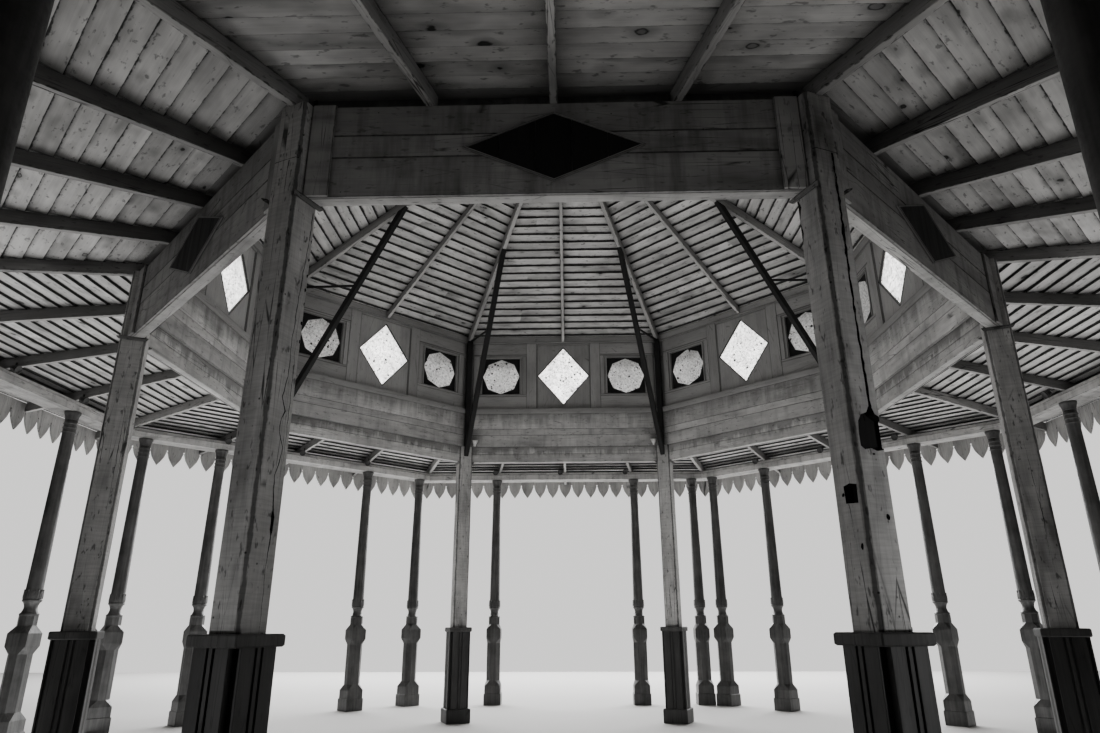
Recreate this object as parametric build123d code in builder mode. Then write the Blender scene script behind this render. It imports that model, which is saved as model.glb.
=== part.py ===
"""Octagonal bandstand: a timber hall on eight posts, a clerestory under a pyramid roof,
and a veranda round it on cast-iron columns. Millimetres, +Z up, floor at Z = 0, centre at
the origin. Apothems are measured square to a side, radii towards a corner."""

import os
from math import atan2, cos, degrees, hypot, radians, sin, sqrt, tan

from build123d import *

SIDES = 8
SECTOR = 360 / SIDES
HALF = SECTOR / 2
COS_HALF = cos(radians(HALF))
TAN_HALF = tan(radians(HALF))

# Hall posts
post_ring_radius = 4400
post_side = 224
post_chamfer = 26
beam_stop_length = 672
plinth_side = 370
plinth_height = 200
plinth_bevel = 14
pedestal_side = 327
pedestal_height = 1090
pedestal_notch = 42
pedestal_board = 93
groove_width = 15
groove_depth = 12
cap_side = 348
cap_height = 66
cap_bevel = 14
collar_height = 25
collar_overhang = 24

# Ring beam over the posts
beam_bottom = 3963
beam_depth = 686
beam_set_in = 42
beam_thickness = 88
outer_board = 25
end_board_width = 155
end_board_thickness = 22
plaque_length = 1180
plaque_height = 520
plaque_thickness = 22

# Boards and windows above the step in the inner face
step_rise = 261
fascia_thickness = 38
sill_seat = 20
sill_height = 94
sill_overhang = 18
window_zone_height = 1202
head_height = 114
head_overhang = 12
mullion_centre = 555
mullion_width = 175
panel_thickness = 34
diamond_margin = 17
diamond_height = 1050
recess_side = 650
recess_margin = 122
surround_rim = 7.5
surround_thickness = 14
pane_thickness = 6
pane_lap = 5
diamond_pane_lap = 10
panel_set_back = 22
corner_post_width = 90
corner_post_depth = 66
corner_stud_width = 240
corner_stud_cut = 960

# Main roof
roof_rise = 1999
board_thickness = 46
covering_thickness = 22
hip_width = 62
hip_depth = 130
rafter_width = 50
rafter_depth = 100
tail_depth = 90
roof_overhang = 420
edge_board_thickness = 24
edge_board_depth = 150
boss_apothem = 150
boss_drop = 60
strut_width = 75
strut_depth = 78
strut_foot_rise = 167
strut_run = 1868
hip_roll_width = 90
hip_roll_height = 34
apex_cap_apothem = 330
apex_cap_edge = 40
apex_cap_rise = 90

# Veranda roof
veranda_slope = 0.1416
veranda_hip_width = 60
veranda_rafter_width = 53
veranda_rafter_depth = 125
rafters_per_side = 3
rafter_bearing = 70
eaves_beam_width = 330
eaves_beam_height = 100
eaves_beam_set_in = 75
eaves_plate_width = 100
eaves_plate_height = 40
eaves_reach = 733
valance_thickness = 25
valance_teeth = 23
valance_board = 156
pendant_length = 245
pendant_shoulder = 120
pendant_shoulder_share = 0.36
drip = 30

# Columns of the veranda
veranda_width = 2546
inner_column_offset = 1377
corner_column_set_in = 226
missing_column_side = 2
missing_column_place = 3
column_plinth_side = 314
column_plinth_height = 200
lower_block_side = 290
lower_block_height = 130
broach_height = 90
octagon_shaft_across = 245
octagon_shaft_height = 650
upper_block_side = 265
upper_block_height = 150
neck_across = 200
neck_height = 115
collar_radius = 108
collar_ring_height = 34
collar_waist_radius = 74
collar_waist_height = 132
leaf_band_radius = 112
leaf_band_height = 120
shaft_foot_radius = 95
shaft_head_radius = 78
ring_radius = 90
ring_height = 18
ring_pitch = 60
ring_count = 3
capital_radius = 103
capital_height = 90
abacus_height = 26
arris = 4

# Levels and faces that follow
beam_inner = post_ring_radius * COS_HALF - beam_set_in
pedestal_top = plinth_height + pedestal_height + cap_height
post_inner_face = post_ring_radius - post_side / 2
post_outer_face = post_ring_radius + post_side / 2
beam_top = beam_bottom + beam_depth
beam_outer = beam_inner + beam_thickness
wall_outer = beam_outer + outer_board
fascia_inner = beam_inner - fascia_thickness
step_height = beam_bottom + step_rise
sill_bottom = beam_top + veranda_rafter_depth + sill_seat
sill_top = sill_bottom + sill_height
head_bottom = sill_top + window_zone_height
window_middle = (sill_top + head_bottom) / 2
roof_slope = roof_rise / beam_inner
apex_height = head_bottom + head_height + roof_rise
sill_inner = fascia_inner - sill_overhang
head_inner = beam_inner - head_overhang
panel_inner = beam_inner + panel_set_back
panel_outer = panel_inner + panel_thickness
corner_post_face = fascia_inner / COS_HALF - corner_post_depth
roof_edge = wall_outer + roof_overhang
board_rise = board_thickness * hypot(1, roof_slope)
covering_rise = covering_thickness * hypot(1, roof_slope)
column_line = wall_outer + veranda_width
valance_apothem = column_line + eaves_reach
valance_outer = valance_apothem + valance_thickness
veranda_edge = valance_outer + drip
mitre_gap = 2
fitting_gap = 0.3
boarding_gap = 0.5
reach = 12000


def ceiling(apothem):
    """Underside of the main roof's boards."""
    return apex_height - roof_slope * apothem


def hip_underside(radius):
    """Underside of a hip rafter, which lies a little low so that its edges meet the boards."""
    backing = roof_slope * sin(radians(HALF)) * hip_width / 2
    return apex_height - roof_slope * COS_HALF * radius - backing - hip_depth


def veranda_underside(apothem):
    """Underside of the veranda's rafters, which leave the top of the ring beam."""
    return beam_top - veranda_slope * (apothem - wall_outer)


def veranda_ceiling(apothem):
    """Underside of the veranda's boards."""
    return veranda_underside(apothem) + veranda_rafter_depth


def octagon(apothem):
    """A sketch of the plan's octagon, flat sides towards X and Y."""
    return RegularPolygon(apothem, SIDES, major_radius=False, rotation=HALF, mode=Mode.PRIVATE)


def mitre(gap=mitre_gap):
    """Trims the part to the sector round +X, half a joint short of each corner."""
    start = gap / 2 / sin(radians(HALF))
    spread = (reach - start) * TAN_HALF
    with BuildSketch() as sector:
        with BuildLine():
            Polyline((start, 0), (reach, spread), (reach, -spread), close=True)
        make_face()
    extrude(sector.sketch, amount=reach, mode=Mode.INTERSECT)


def ring_side(outline, gap=mitre_gap):
    """One side of an octagonal ring: an outline of apothems and heights, mitred at both ends."""
    with BuildPart() as side:
        with BuildSketch(Plane.XZ):
            with BuildLine():
                Polyline(*outline, close=True)
            make_face()
        extrude(amount=reach * TAN_HALF, both=True)
        mitre(gap)
    return side.part


def radial_bar(outline, width):
    """A bar that stands on edge over the X axis, from an outline of radii and heights."""
    with BuildPart() as bar:
        with BuildSketch(Plane.XZ):
            with BuildLine():
                Polyline(*outline, close=True)
            make_face()
        extrude(amount=width / 2, both=True)
    return bar.part


def around(piece, start=0):
    """Sets a piece on every side of the octagon, or with a start angle in every corner."""
    with PolarLocations(0, SIDES, start_angle=start):
        add(piece)


def cut_beyond(apothem, bottom, top):
    """Removes what lies outside an octagon between two heights."""
    with BuildSketch(Plane.XY.offset(bottom)) as surroundings:
        Rectangle(2 * reach, 2 * reach)
        add(octagon(apothem), mode=Mode.SUBTRACT)
    extrude(surroundings.sketch, amount=top - bottom, mode=Mode.SUBTRACT)


def cut_within(apothem, bottom, top):
    """Removes what lies inside an octagon between two heights."""
    with BuildSketch(Plane.XY.offset(bottom)) as core:
        add(octagon(apothem))
    extrude(core.sketch, amount=top - bottom, mode=Mode.SUBTRACT)


def post_box(side, bottom, height, mode=Mode.ADD):
    """A square block standing on each post's place, turned to face the centre."""
    with PolarLocations(post_ring_radius, SIDES, start_angle=HALF):
        with Locations((0, 0, bottom + height / 2)):
            Box(side, side, height, mode=mode)


def beam_ring(inner, outer, bottom, height):
    """An octagonal ring of beams, stopped against the sides of the posts."""
    with BuildSketch(Plane.XY.offset(bottom)) as ring:
        add(octagon(outer))
        add(octagon(inner), mode=Mode.SUBTRACT)
        with PolarLocations(post_ring_radius, SIDES, start_angle=HALF):
            Rectangle(beam_stop_length, post_side, mode=Mode.SUBTRACT)
    extrude(ring.sketch, amount=height)


def rhombus(across, high):
    """A diamond with its points up, down and to both sides."""
    Polygon((across / 2, 0), (0, high / 2), (-across / 2, 0), (0, -high / 2))


def tapered_stack(levels, turn):
    """A pile of tapered square blocks, from their heights and sides."""
    for (foot, foot_side), (head, head_side) in zip(levels, levels[1:]):
        with BuildSketch(Plane.XY.offset(foot)) as block:
            Rectangle(foot_side, foot_side, rotation=turn)
        lean = degrees(atan2((foot_side - head_side) / 2, head - foot))
        extrude(block.sketch, amount=head - foot, taper=lean)


def cut_square(side, corner):
    """A square with its corners cut off: an octagon, where the cut is large."""
    square = Rectangle(side, side)
    chamfer(square.vertices(), corner)


os.makedirs("parts", exist_ok=True)

# Post plinths
with BuildPart() as post_plinths:
    post_box(plinth_side, 0, plinth_height)
    chamfer(post_plinths.faces().group_by(Axis.Z)[-1].edges(), plinth_bevel)
post_plinths.part.label = "post_plinths"
export_step(post_plinths.part, "parts/post_plinths.step")

# Boarded pedestals, with square notches at the corners and two grooves in each face
groove_offset = pedestal_side / 2 - pedestal_notch - pedestal_board - groove_width / 2
with BuildPart() as post_pedestals:
    with BuildSketch(Plane.XY.offset(plinth_height)):
        with PolarLocations(post_ring_radius, SIDES, start_angle=HALF):
            Rectangle(pedestal_side, pedestal_side)
            with GridLocations(pedestal_side, pedestal_side, 2, 2):
                Rectangle(2 * pedestal_notch, 2 * pedestal_notch, mode=Mode.SUBTRACT)
            with GridLocations(pedestal_side, 2 * groove_offset, 2, 2):
                Rectangle(2 * groove_depth, groove_width, mode=Mode.SUBTRACT)
            with GridLocations(2 * groove_offset, pedestal_side, 2, 2):
                Rectangle(groove_width, 2 * groove_depth, mode=Mode.SUBTRACT)
    extrude(amount=pedestal_height)
post_pedestals.part.label = "post_pedestals"
export_step(post_pedestals.part, "parts/post_pedestals.step")

# Pedestal caps
with BuildPart() as post_caps:
    post_box(cap_side, plinth_height + pedestal_height, cap_height)
    chamfer(post_caps.faces().group_by(Axis.Z)[-1].edges(), cap_bevel)
post_caps.part.label = "post_caps"
export_step(post_caps.part, "parts/post_caps.step")

# Timber posts, cut back above the step where the inner boards pass in front of them
with BuildPart() as timber_posts:
    with BuildSketch(Plane.XY.offset(pedestal_top)):
        with PolarLocations(post_ring_radius, SIDES, start_angle=HALF):
            cut_square(post_side, post_chamfer)
    extrude(amount=beam_top - pedestal_top)
    with BuildSketch(Plane.XY.offset(step_height)):
        add(octagon(beam_inner))
    extrude(amount=beam_depth, mode=Mode.SUBTRACT)
timber_posts.part.label = "timber_posts"
export_step(timber_posts.part, "parts/timber_posts.step")

# Thin collars round the posts, under the ring beam
with BuildPart() as post_collars:
    post_box(post_side + 2 * collar_overhang, beam_bottom - collar_height, collar_height)
    with BuildSketch(Plane.XY.offset(beam_bottom - collar_height)):
        with PolarLocations(post_ring_radius, SIDES, start_angle=HALF):
            cut_square(post_side, post_chamfer)
    extrude(amount=collar_height, mode=Mode.SUBTRACT)
post_collars.part.label = "post_collars"
export_step(post_collars.part, "parts/post_collars.step")

# Ring beams between the posts
with BuildPart() as ring_beams:
    beam_ring(beam_inner, beam_outer, beam_bottom, beam_depth)
ring_beams.part.label = "ring_beams"
export_step(ring_beams.part, "parts/ring_beams.step")

# Boards on the outer face of the ring beams
with BuildPart() as outer_boards:
    beam_ring(beam_outer, wall_outer, beam_bottom, beam_depth)
outer_boards.part.label = "outer_boards"
export_step(outer_boards.part, "parts/outer_boards.step")

# Upright boards at both ends of each outer face
end_board_reach = wall_outer * TAN_HALF - post_side / 2 / COS_HALF - fitting_gap
with BuildPart() as end_board_pair:
    with BuildSketch(Plane.YZ.offset(wall_outer)):
        with Locations((0, beam_bottom + beam_depth / 2)):
            with GridLocations(2 * end_board_reach - end_board_width, 0, 2, 1):
                Rectangle(end_board_width, beam_depth)
    extrude(amount=end_board_thickness)
with BuildPart() as beam_end_boards:
    around(end_board_pair.part)
beam_end_boards.part.label = "beam_end_boards"
export_step(beam_end_boards.part, "parts/beam_end_boards.step")

# Diamond plaques planted on the outer faces
with BuildPart() as plaque:
    with BuildSketch(Plane.YZ.offset(wall_outer)):
        with Locations((0, beam_bottom + beam_depth / 2)):
            rhombus(plaque_length, plaque_height)
    extrude(amount=plaque_thickness)
with BuildPart() as beam_plaques:
    around(plaque.part)
beam_plaques.part.label = "beam_plaques"
export_step(beam_plaques.part, "parts/beam_plaques.step")

# Inner boards between the step and the window sills
fascia_side = ring_side(
    (
        (fascia_inner, step_height),
        (beam_inner, step_height),
        (beam_inner, sill_bottom),
        (fascia_inner, sill_bottom),
    )
)
with BuildPart() as inner_fascias:
    around(fascia_side)
inner_fascias.part.label = "inner_fascias"
export_step(inner_fascias.part, "parts/inner_fascias.step")

# Window sills, right through the wall
sill_side = ring_side(
    (
        (sill_inner, sill_bottom),
        (wall_outer, sill_bottom),
        (wall_outer, sill_top),
        (sill_inner, sill_top),
    )
)
with BuildPart() as clerestory_sills:
    around(sill_side)
clerestory_sills.part.label = "clerestory_sills"
export_step(clerestory_sills.part, "parts/clerestory_sills.step")

# Window heads, which carry the roof and follow its slope
head_side = ring_side(
    (
        (head_inner, head_bottom),
        (wall_outer, head_bottom),
        (wall_outer, ceiling(wall_outer)),
        (head_inner, ceiling(head_inner)),
    )
)
with BuildPart() as clerestory_heads:
    around(head_side)
clerestory_heads.part.label = "clerestory_heads"
export_step(clerestory_heads.part, "parts/clerestory_heads.step")

# Mullions beside the diamond windows
with BuildPart() as mullion_pair:
    with BuildSketch(Plane.YZ.offset(beam_inner)):
        with Locations((0, window_middle)):
            with GridLocations(2 * mullion_centre, 0, 2, 1):
                Rectangle(mullion_width, window_zone_height)
    extrude(amount=wall_outer - beam_inner)
with BuildPart() as clerestory_mullions:
    around(mullion_pair.part)
clerestory_mullions.part.label = "clerestory_mullions"
export_step(clerestory_mullions.part, "parts/clerestory_mullions.step")

# Panels with the diamond windows
diamond_bay = 2 * mullion_centre - mullion_width
diamond_width = diamond_bay - 2 * diamond_margin
with BuildPart() as diamond_panel:
    with BuildSketch(Plane.YZ.offset(panel_inner)):
        with Locations((0, window_middle)):
            Rectangle(diamond_bay, window_zone_height)
            Polygon(
                (diamond_width / 2, 0),
                (0, diamond_height / 2),
                (-diamond_width / 2, 0),
                (0, -diamond_height / 2),
                mode=Mode.SUBTRACT,
            )
    extrude(amount=panel_thickness)
with BuildPart() as diamond_panels:
    around(diamond_panel.part)
diamond_panels.part.label = "diamond_panels"
export_step(diamond_panels.part, "parts/diamond_panels.step")

# Panels with the square recesses, from the mullions to the corners
recess_panel_start = mullion_centre + mullion_width / 2
recess_panel_end = panel_outer * TAN_HALF
recess_centre = recess_panel_start + recess_margin + recess_side / 2
octagon_radius = recess_side / 2 - surround_rim
with BuildPart() as recess_panel_pair:
    with BuildSketch(Plane.YZ.offset(panel_inner)):
        with Locations((0, window_middle)):
            with GridLocations(recess_panel_start + recess_panel_end, 0, 2, 1):
                Rectangle(recess_panel_end - recess_panel_start, window_zone_height)
            with GridLocations(2 * recess_centre, 0, 2, 1):
                Rectangle(recess_side, recess_side, mode=Mode.SUBTRACT)
    extrude(amount=panel_thickness)
    mitre()
with BuildPart() as recess_panels:
    around(recess_panel_pair.part)
recess_panels.part.label = "recess_panels"
export_step(recess_panels.part, "parts/recess_panels.step")

# Square surrounds with eight-sided openings, in the recesses
surround_inner = panel_outer - surround_thickness - pane_thickness
with BuildPart() as surround_pair:
    with BuildSketch(Plane.YZ.offset(surround_inner)):
        with Locations((0, window_middle)):
            with GridLocations(2 * recess_centre, 0, 2, 1):
                Rectangle(recess_side - 2 * fitting_gap, recess_side - 2 * fitting_gap)
                RegularPolygon(octagon_radius, SIDES, mode=Mode.SUBTRACT)
    extrude(amount=surround_thickness)
with BuildPart() as octagon_surrounds:
    around(surround_pair.part)
octagon_surrounds.part.label = "octagon_surrounds"
export_step(octagon_surrounds.part, "parts/octagon_surrounds.step")

# Glass of the eight-sided windows, behind the surrounds
with BuildPart() as octagon_pane_pair:
    with BuildSketch(Plane.YZ.offset(panel_outer - pane_thickness)):
        with Locations((0, window_middle)):
            with GridLocations(2 * recess_centre, 0, 2, 1):
                RegularPolygon(octagon_radius + pane_lap, SIDES)
    extrude(amount=pane_thickness)
with BuildPart() as octagon_panes:
    around(octagon_pane_pair.part)
octagon_panes.part.label = "octagon_panes"
export_step(octagon_panes.part, "parts/octagon_panes.step")

# Glass of the diamond windows, behind the panels
with BuildPart() as diamond_pane:
    with BuildSketch(Plane.YZ.offset(panel_outer)):
        with Locations((0, window_middle)):
            rhombus(diamond_width + 2 * diamond_pane_lap, diamond_height + 2 * diamond_pane_lap)
    extrude(amount=pane_thickness)
with BuildPart() as diamond_panes:
    around(diamond_pane.part)
diamond_panes.part.label = "diamond_panes"
export_step(diamond_panes.part, "parts/diamond_panes.step")

# Studs in the outer corners of the window wall
with BuildPart() as corner_studs:
    with BuildSketch(Plane.XY.offset(sill_top)):
        with PolarLocations(post_ring_radius, SIDES, start_angle=HALF):
            Rectangle(corner_stud_cut, corner_stud_width)
        add(octagon(wall_outer), mode=Mode.INTERSECT)
        add(octagon(panel_outer), mode=Mode.SUBTRACT)
    extrude(amount=window_zone_height)
corner_studs.part.label = "corner_studs"
export_step(corner_studs.part, "parts/corner_studs.step")

# Dark posts in the inner corners, from the step up to the hip rafters
corner_post_back = panel_outer / COS_HALF
corner_post = radial_bar(
    (
        (corner_post_face, step_height),
        (corner_post_back, step_height),
        (corner_post_back, hip_underside(corner_post_back)),
        (corner_post_face, hip_underside(corner_post_face)),
    ),
    corner_post_width,
)
with BuildPart() as corner_posts:
    around(corner_post, HALF)
    cut_beyond(fascia_inner, step_height, sill_bottom)
    cut_beyond(sill_inner, sill_bottom, sill_top)
    cut_beyond(panel_inner, sill_top, head_bottom)
    cut_beyond(head_inner, head_bottom, apex_height)
corner_posts.part.label = "corner_posts"
export_step(corner_posts.part, "parts/corner_posts.step")

# Boss where the rafters of the main roof meet
boss_bottom = hip_underside(boss_apothem) - boss_drop
boss_side = ring_side(
    (
        (0, boss_bottom),
        (boss_apothem, boss_bottom),
        (boss_apothem, ceiling(boss_apothem)),
        (0, ceiling(0)),
    ),
    0,
)
with BuildPart() as roof_boss:
    around(boss_side)
roof_boss.part.label = "roof_boss"
export_step(roof_boss.part, "parts/roof_boss.step")

# Hip rafters, from the boss to the window heads
hip_start = boss_apothem / 2
hip_end = wall_outer / COS_HALF
hip = radial_bar(
    (
        (hip_start, hip_underside(hip_start)),
        (hip_end, hip_underside(hip_end)),
        (hip_end, hip_underside(hip_end) + hip_depth),
        (hip_start, hip_underside(hip_start) + hip_depth),
    ),
    hip_width,
)
with BuildPart() as hip_rafters:
    around(hip, HALF)
    cut_within(boss_apothem, 0, reach)
    cut_beyond(head_inner, 0, reach)
hip_rafters.part.label = "hip_rafters"
export_step(hip_rafters.part, "parts/hip_rafters.step")

# One rafter up the middle of each side
middle_rafter = radial_bar(
    (
        (boss_apothem, ceiling(boss_apothem) - rafter_depth),
        (head_inner, ceiling(head_inner) - rafter_depth),
        (head_inner, ceiling(head_inner)),
        (boss_apothem, ceiling(boss_apothem)),
    ),
    rafter_width,
)
with BuildPart() as middle_rafters:
    around(middle_rafter)
middle_rafters.part.label = "middle_rafters"
export_step(middle_rafters.part, "parts/middle_rafters.step")

# Rafter tails under the eaves, outside the window heads
tail_end = roof_edge - edge_board_thickness
tail_reach = roof_edge / COS_HALF
side_tail = radial_bar(
    (
        (wall_outer, ceiling(wall_outer) - tail_depth),
        (tail_end, ceiling(tail_end) - tail_depth),
        (tail_end, ceiling(tail_end)),
        (wall_outer, ceiling(wall_outer)),
    ),
    rafter_width,
)
corner_tail = radial_bar(
    (
        (wall_outer, hip_underside(wall_outer) + hip_depth - tail_depth),
        (tail_reach, hip_underside(tail_reach) + hip_depth - tail_depth),
        (tail_reach, hip_underside(tail_reach) + hip_depth),
        (wall_outer, hip_underside(wall_outer) + hip_depth),
    ),
    hip_width,
)
with BuildPart() as rafter_tails:
    around(side_tail)
    around(corner_tail, HALF)
    cut_within(wall_outer, 0, reach)
    cut_beyond(tail_end, 0, reach)
rafter_tails.part.label = "rafter_tails"
export_step(rafter_tails.part, "parts/rafter_tails.step")

# Edge boards round the eaves of the main roof
edge_side = ring_side(
    (
        (tail_end, ceiling(roof_edge) - edge_board_depth),
        (roof_edge, ceiling(roof_edge) - edge_board_depth),
        (roof_edge, ceiling(roof_edge)),
        (tail_end, ceiling(tail_end)),
    )
)
with BuildPart() as roof_edge_boards:
    around(edge_side)
roof_edge_boards.part.label = "roof_edge_boards"
export_step(roof_edge_boards.part, "parts/roof_edge_boards.step")

# Boarding of the main roof, and the covering over it
boarding_side = ring_side(
    (
        (0, ceiling(0)),
        (roof_edge, ceiling(roof_edge)),
        (roof_edge, ceiling(roof_edge) + board_rise),
        (0, ceiling(0) + board_rise),
    )
)
with BuildPart() as roof_boarding:
    around(boarding_side)
roof_boarding.part.label = "roof_boarding"
export_step(roof_boarding.part, "parts/roof_boarding.step")

covering_edge = roof_edge + drip
covering_side = ring_side(
    (
        (0, ceiling(0) + board_rise),
        (covering_edge, ceiling(covering_edge) + board_rise),
        (covering_edge, ceiling(covering_edge) + board_rise + covering_rise),
        (0, ceiling(0) + board_rise + covering_rise),
    )
)
with BuildPart() as roof_covering:
    around(covering_side)
roof_covering.part.label = "roof_covering"
export_step(roof_covering.part, "parts/roof_covering.step")

# Cap over the apex
cap_top = ceiling(0) + board_rise + covering_rise
cap_fall = roof_slope * apex_cap_apothem
cap_side_outline = (
    (0, cap_top),
    (apex_cap_apothem, cap_top - cap_fall),
    (apex_cap_apothem, cap_top - cap_fall + apex_cap_edge),
    (0, cap_top + apex_cap_rise),
)
with BuildPart() as apex_cap:
    around(ring_side(cap_side_outline, 0))
apex_cap.part.label = "apex_cap"
export_step(apex_cap.part, "parts/apex_cap.step")

# Rolls over the hips of the covering
roll_end = covering_edge / COS_HALF
roll_fall = roof_slope * COS_HALF
hip_roll = radial_bar(
    (
        (0, cap_top),
        (roll_end, cap_top - roll_fall * roll_end),
        (roll_end, cap_top - roll_fall * roll_end + hip_roll_height),
        (0, cap_top + hip_roll_height),
    ),
    hip_roll_width,
)
with BuildPart() as hip_rolls:
    around(hip_roll, HALF)
    cut_within(apex_cap_apothem, 0, reach)
    cut_beyond(covering_edge, 0, reach)
hip_rolls.part.label = "hip_rolls"
export_step(hip_rolls.part, "parts/hip_rolls.step")

# Struts from the post heads up to the hip rafters
foot = (post_inner_face, beam_bottom + strut_foot_rise)
strut_rise = hip_underside(foot[0] - strut_run) - foot[1]
steepness = strut_rise / strut_run
half_across = strut_depth / 2 * hypot(1, 1 / steepness)


def strut_edge(offset):
    """Where an edge of the strut, moved sideways by an offset, meets the hip rafter."""
    fall = roof_slope * COS_HALF
    at_axis = hip_underside(0)
    return (foot[1] + steepness * (foot[0] + offset) - at_axis) / (steepness - fall)


lower_head = strut_edge(-half_across)
upper_head = strut_edge(half_across)
strut = radial_bar(
    (
        (foot[0], foot[1] - steepness * half_across),
        (foot[0], foot[1] + steepness * half_across),
        (upper_head, hip_underside(upper_head)),
        (lower_head, hip_underside(lower_head)),
    ),
    strut_width,
)
with BuildPart() as roof_struts:
    around(strut, HALF)
    add(corner_posts.part, mode=Mode.SUBTRACT)
roof_struts.part.label = "roof_struts"
export_step(roof_struts.part, "parts/roof_struts.step")


def veranda_bar(turn, width, bearing_end):
    """A veranda rafter at an angle to the middle of its side, notched over what it bears on."""
    stretch = 1 / cos(radians(turn))
    backing = veranda_slope * sin(radians(abs(turn))) * width / 2
    inner_end = wall_outer - rafter_bearing
    return radial_bar(
        (
            (inner_end * stretch, beam_top),
            (bearing_end * stretch, beam_top),
            (bearing_end * stretch, veranda_underside(bearing_end) + backing),
            (veranda_edge * stretch, veranda_underside(veranda_edge) + backing),
            (veranda_edge * stretch, veranda_ceiling(veranda_edge) - backing),
            (inner_end * stretch, veranda_ceiling(inner_end) - backing),
        ),
        width,
    )


# Hips of the veranda roof, which bear on the posts
with BuildPart() as veranda_hips:
    around(veranda_bar(HALF, veranda_hip_width, post_outer_face * COS_HALF), HALF)
    cut_beyond(valance_apothem, 0, reach)
veranda_hips.part.label = "veranda_hips"
export_step(veranda_hips.part, "parts/veranda_hips.step")

# Rafters of the veranda roof, fanned out from the ring beam
fan_step = SECTOR / (rafters_per_side + 1)
with BuildPart() as veranda_rafters:
    for place in range(1, rafters_per_side + 1):
        turn = place * fan_step - HALF
        bearing_end = wall_outer + sin(radians(abs(turn))) * veranda_rafter_width / 2
        around(veranda_bar(turn, veranda_rafter_width, bearing_end + arris), turn)
    cut_within(wall_outer - rafter_bearing, 0, reach)
    cut_beyond(valance_apothem, 0, reach)
veranda_rafters.part.label = "veranda_rafters"
export_step(veranda_rafters.part, "parts/veranda_rafters.step")

# Boarding of the veranda roof, and the covering over it
veranda_boards_start = wall_outer + boarding_gap
veranda_boarding_side = ring_side(
    (
        (veranda_boards_start, veranda_ceiling(veranda_boards_start)),
        (veranda_edge, veranda_ceiling(veranda_edge)),
        (veranda_edge, veranda_ceiling(veranda_edge) + board_thickness),
        (veranda_boards_start, veranda_ceiling(veranda_boards_start) + board_thickness),
    )
)
with BuildPart() as veranda_boarding:
    around(veranda_boarding_side)
veranda_boarding.part.label = "veranda_boarding"
export_step(veranda_boarding.part, "parts/veranda_boarding.step")

cover_foot = veranda_ceiling(veranda_boards_start) + board_thickness
cover_edge = veranda_edge + drip
cover_end = veranda_ceiling(cover_edge) + board_thickness
veranda_covering_side = ring_side(
    (
        (veranda_boards_start, cover_foot),
        (cover_edge, cover_end),
        (cover_edge, cover_end + covering_thickness),
        (veranda_boards_start, cover_foot + covering_thickness),
    )
)
with BuildPart() as veranda_covering:
    around(veranda_covering_side)
veranda_covering.part.label = "veranda_covering"
export_step(veranda_covering.part, "parts/veranda_covering.step")

# Eaves beams on the columns, and the narrow plates on them under the rafters
eaves_inner = column_line - eaves_beam_set_in
eaves_outer = eaves_inner + eaves_beam_width
eaves_top = veranda_underside(column_line) - eaves_plate_height
column_height = eaves_top - eaves_beam_height
eaves_beam_side = ring_side(
    (
        (eaves_inner, column_height),
        (eaves_outer, column_height),
        (eaves_outer, eaves_top),
        (eaves_inner, eaves_top),
    )
)
with BuildPart() as eaves_beams:
    around(eaves_beam_side)
eaves_beams.part.label = "eaves_beams"
export_step(eaves_beams.part, "parts/eaves_beams.step")

plate_inner = column_line - eaves_plate_width / 2
plate_outer = column_line + eaves_plate_width / 2
eaves_plate_side = ring_side(
    (
        (plate_inner, eaves_top),
        (plate_outer, eaves_top),
        (plate_outer, veranda_underside(plate_outer)),
        (plate_inner, veranda_underside(plate_inner)),
    )
)
with BuildPart() as eaves_plates:
    around(eaves_plate_side)
eaves_plates.part.label = "eaves_plates"
export_step(eaves_plates.part, "parts/eaves_plates.step")

# Valance of pointed pendants, on the ends of the rafters
valance_top = veranda_ceiling(valance_outer)
valance_gap_top = valance_top - valance_board
valance_tip = valance_gap_top - pendant_length
valance_shoulder = valance_gap_top - pendant_shoulder
valance_length = 2 * valance_apothem * TAN_HALF
pendant_pitch = valance_length / valance_teeth
with BuildPart() as valance_side:
    with BuildSketch(Plane.YZ.offset(valance_apothem)):
        with Locations((0, (valance_top + valance_gap_top) / 2)):
            Rectangle(valance_length + 2 * valance_thickness, valance_top - valance_gap_top)
        with BuildLine():
            points = [(-valance_length / 2, valance_gap_top + arris)]
            for tooth in range(valance_teeth):
                middle = (tooth + 0.5) * pendant_pitch - valance_length / 2
                shoulder = pendant_shoulder_share * pendant_pitch
                points += [
                    (middle - pendant_pitch / 2, valance_gap_top),
                    (middle - shoulder, valance_shoulder),
                    (middle, valance_tip),
                    (middle + shoulder, valance_shoulder),
                ]
            points += [
                (valance_length / 2, valance_gap_top),
                (valance_length / 2, valance_gap_top + arris),
            ]
            Polyline(*points, close=True)
        make_face()
    extrude(amount=valance_thickness)
    mitre()
with BuildPart() as valance:
    around(valance_side.part)
valance.part.label = "valance"
export_step(valance.part, "parts/valance.step")

# Places of the columns: four to a side, with one missing from the far side
corner_column_offset = column_line * TAN_HALF - corner_column_set_in
column_offsets = (
    -corner_column_offset,
    -inner_column_offset,
    inner_column_offset,
    corner_column_offset,
)
column_places = [
    Location((0, 0, 0), (0, 0, side * SECTOR)) * Location((column_line, offset, 0))
    for side in range(SIDES)
    for place, offset in enumerate(column_offsets)
    if (side, place) != (missing_column_side, missing_column_place)
]

# Plinths of the columns
with BuildPart() as column_plinth:
    with BuildSketch():
        cut_square(column_plinth_side, arris)
    extrude(amount=column_plinth_height)
with BuildPart() as column_plinths:
    with Locations(*column_places):
        add(column_plinth.part)
column_plinths.part.label = "column_plinths"
export_step(column_plinths.part, "parts/column_plinths.step")

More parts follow.
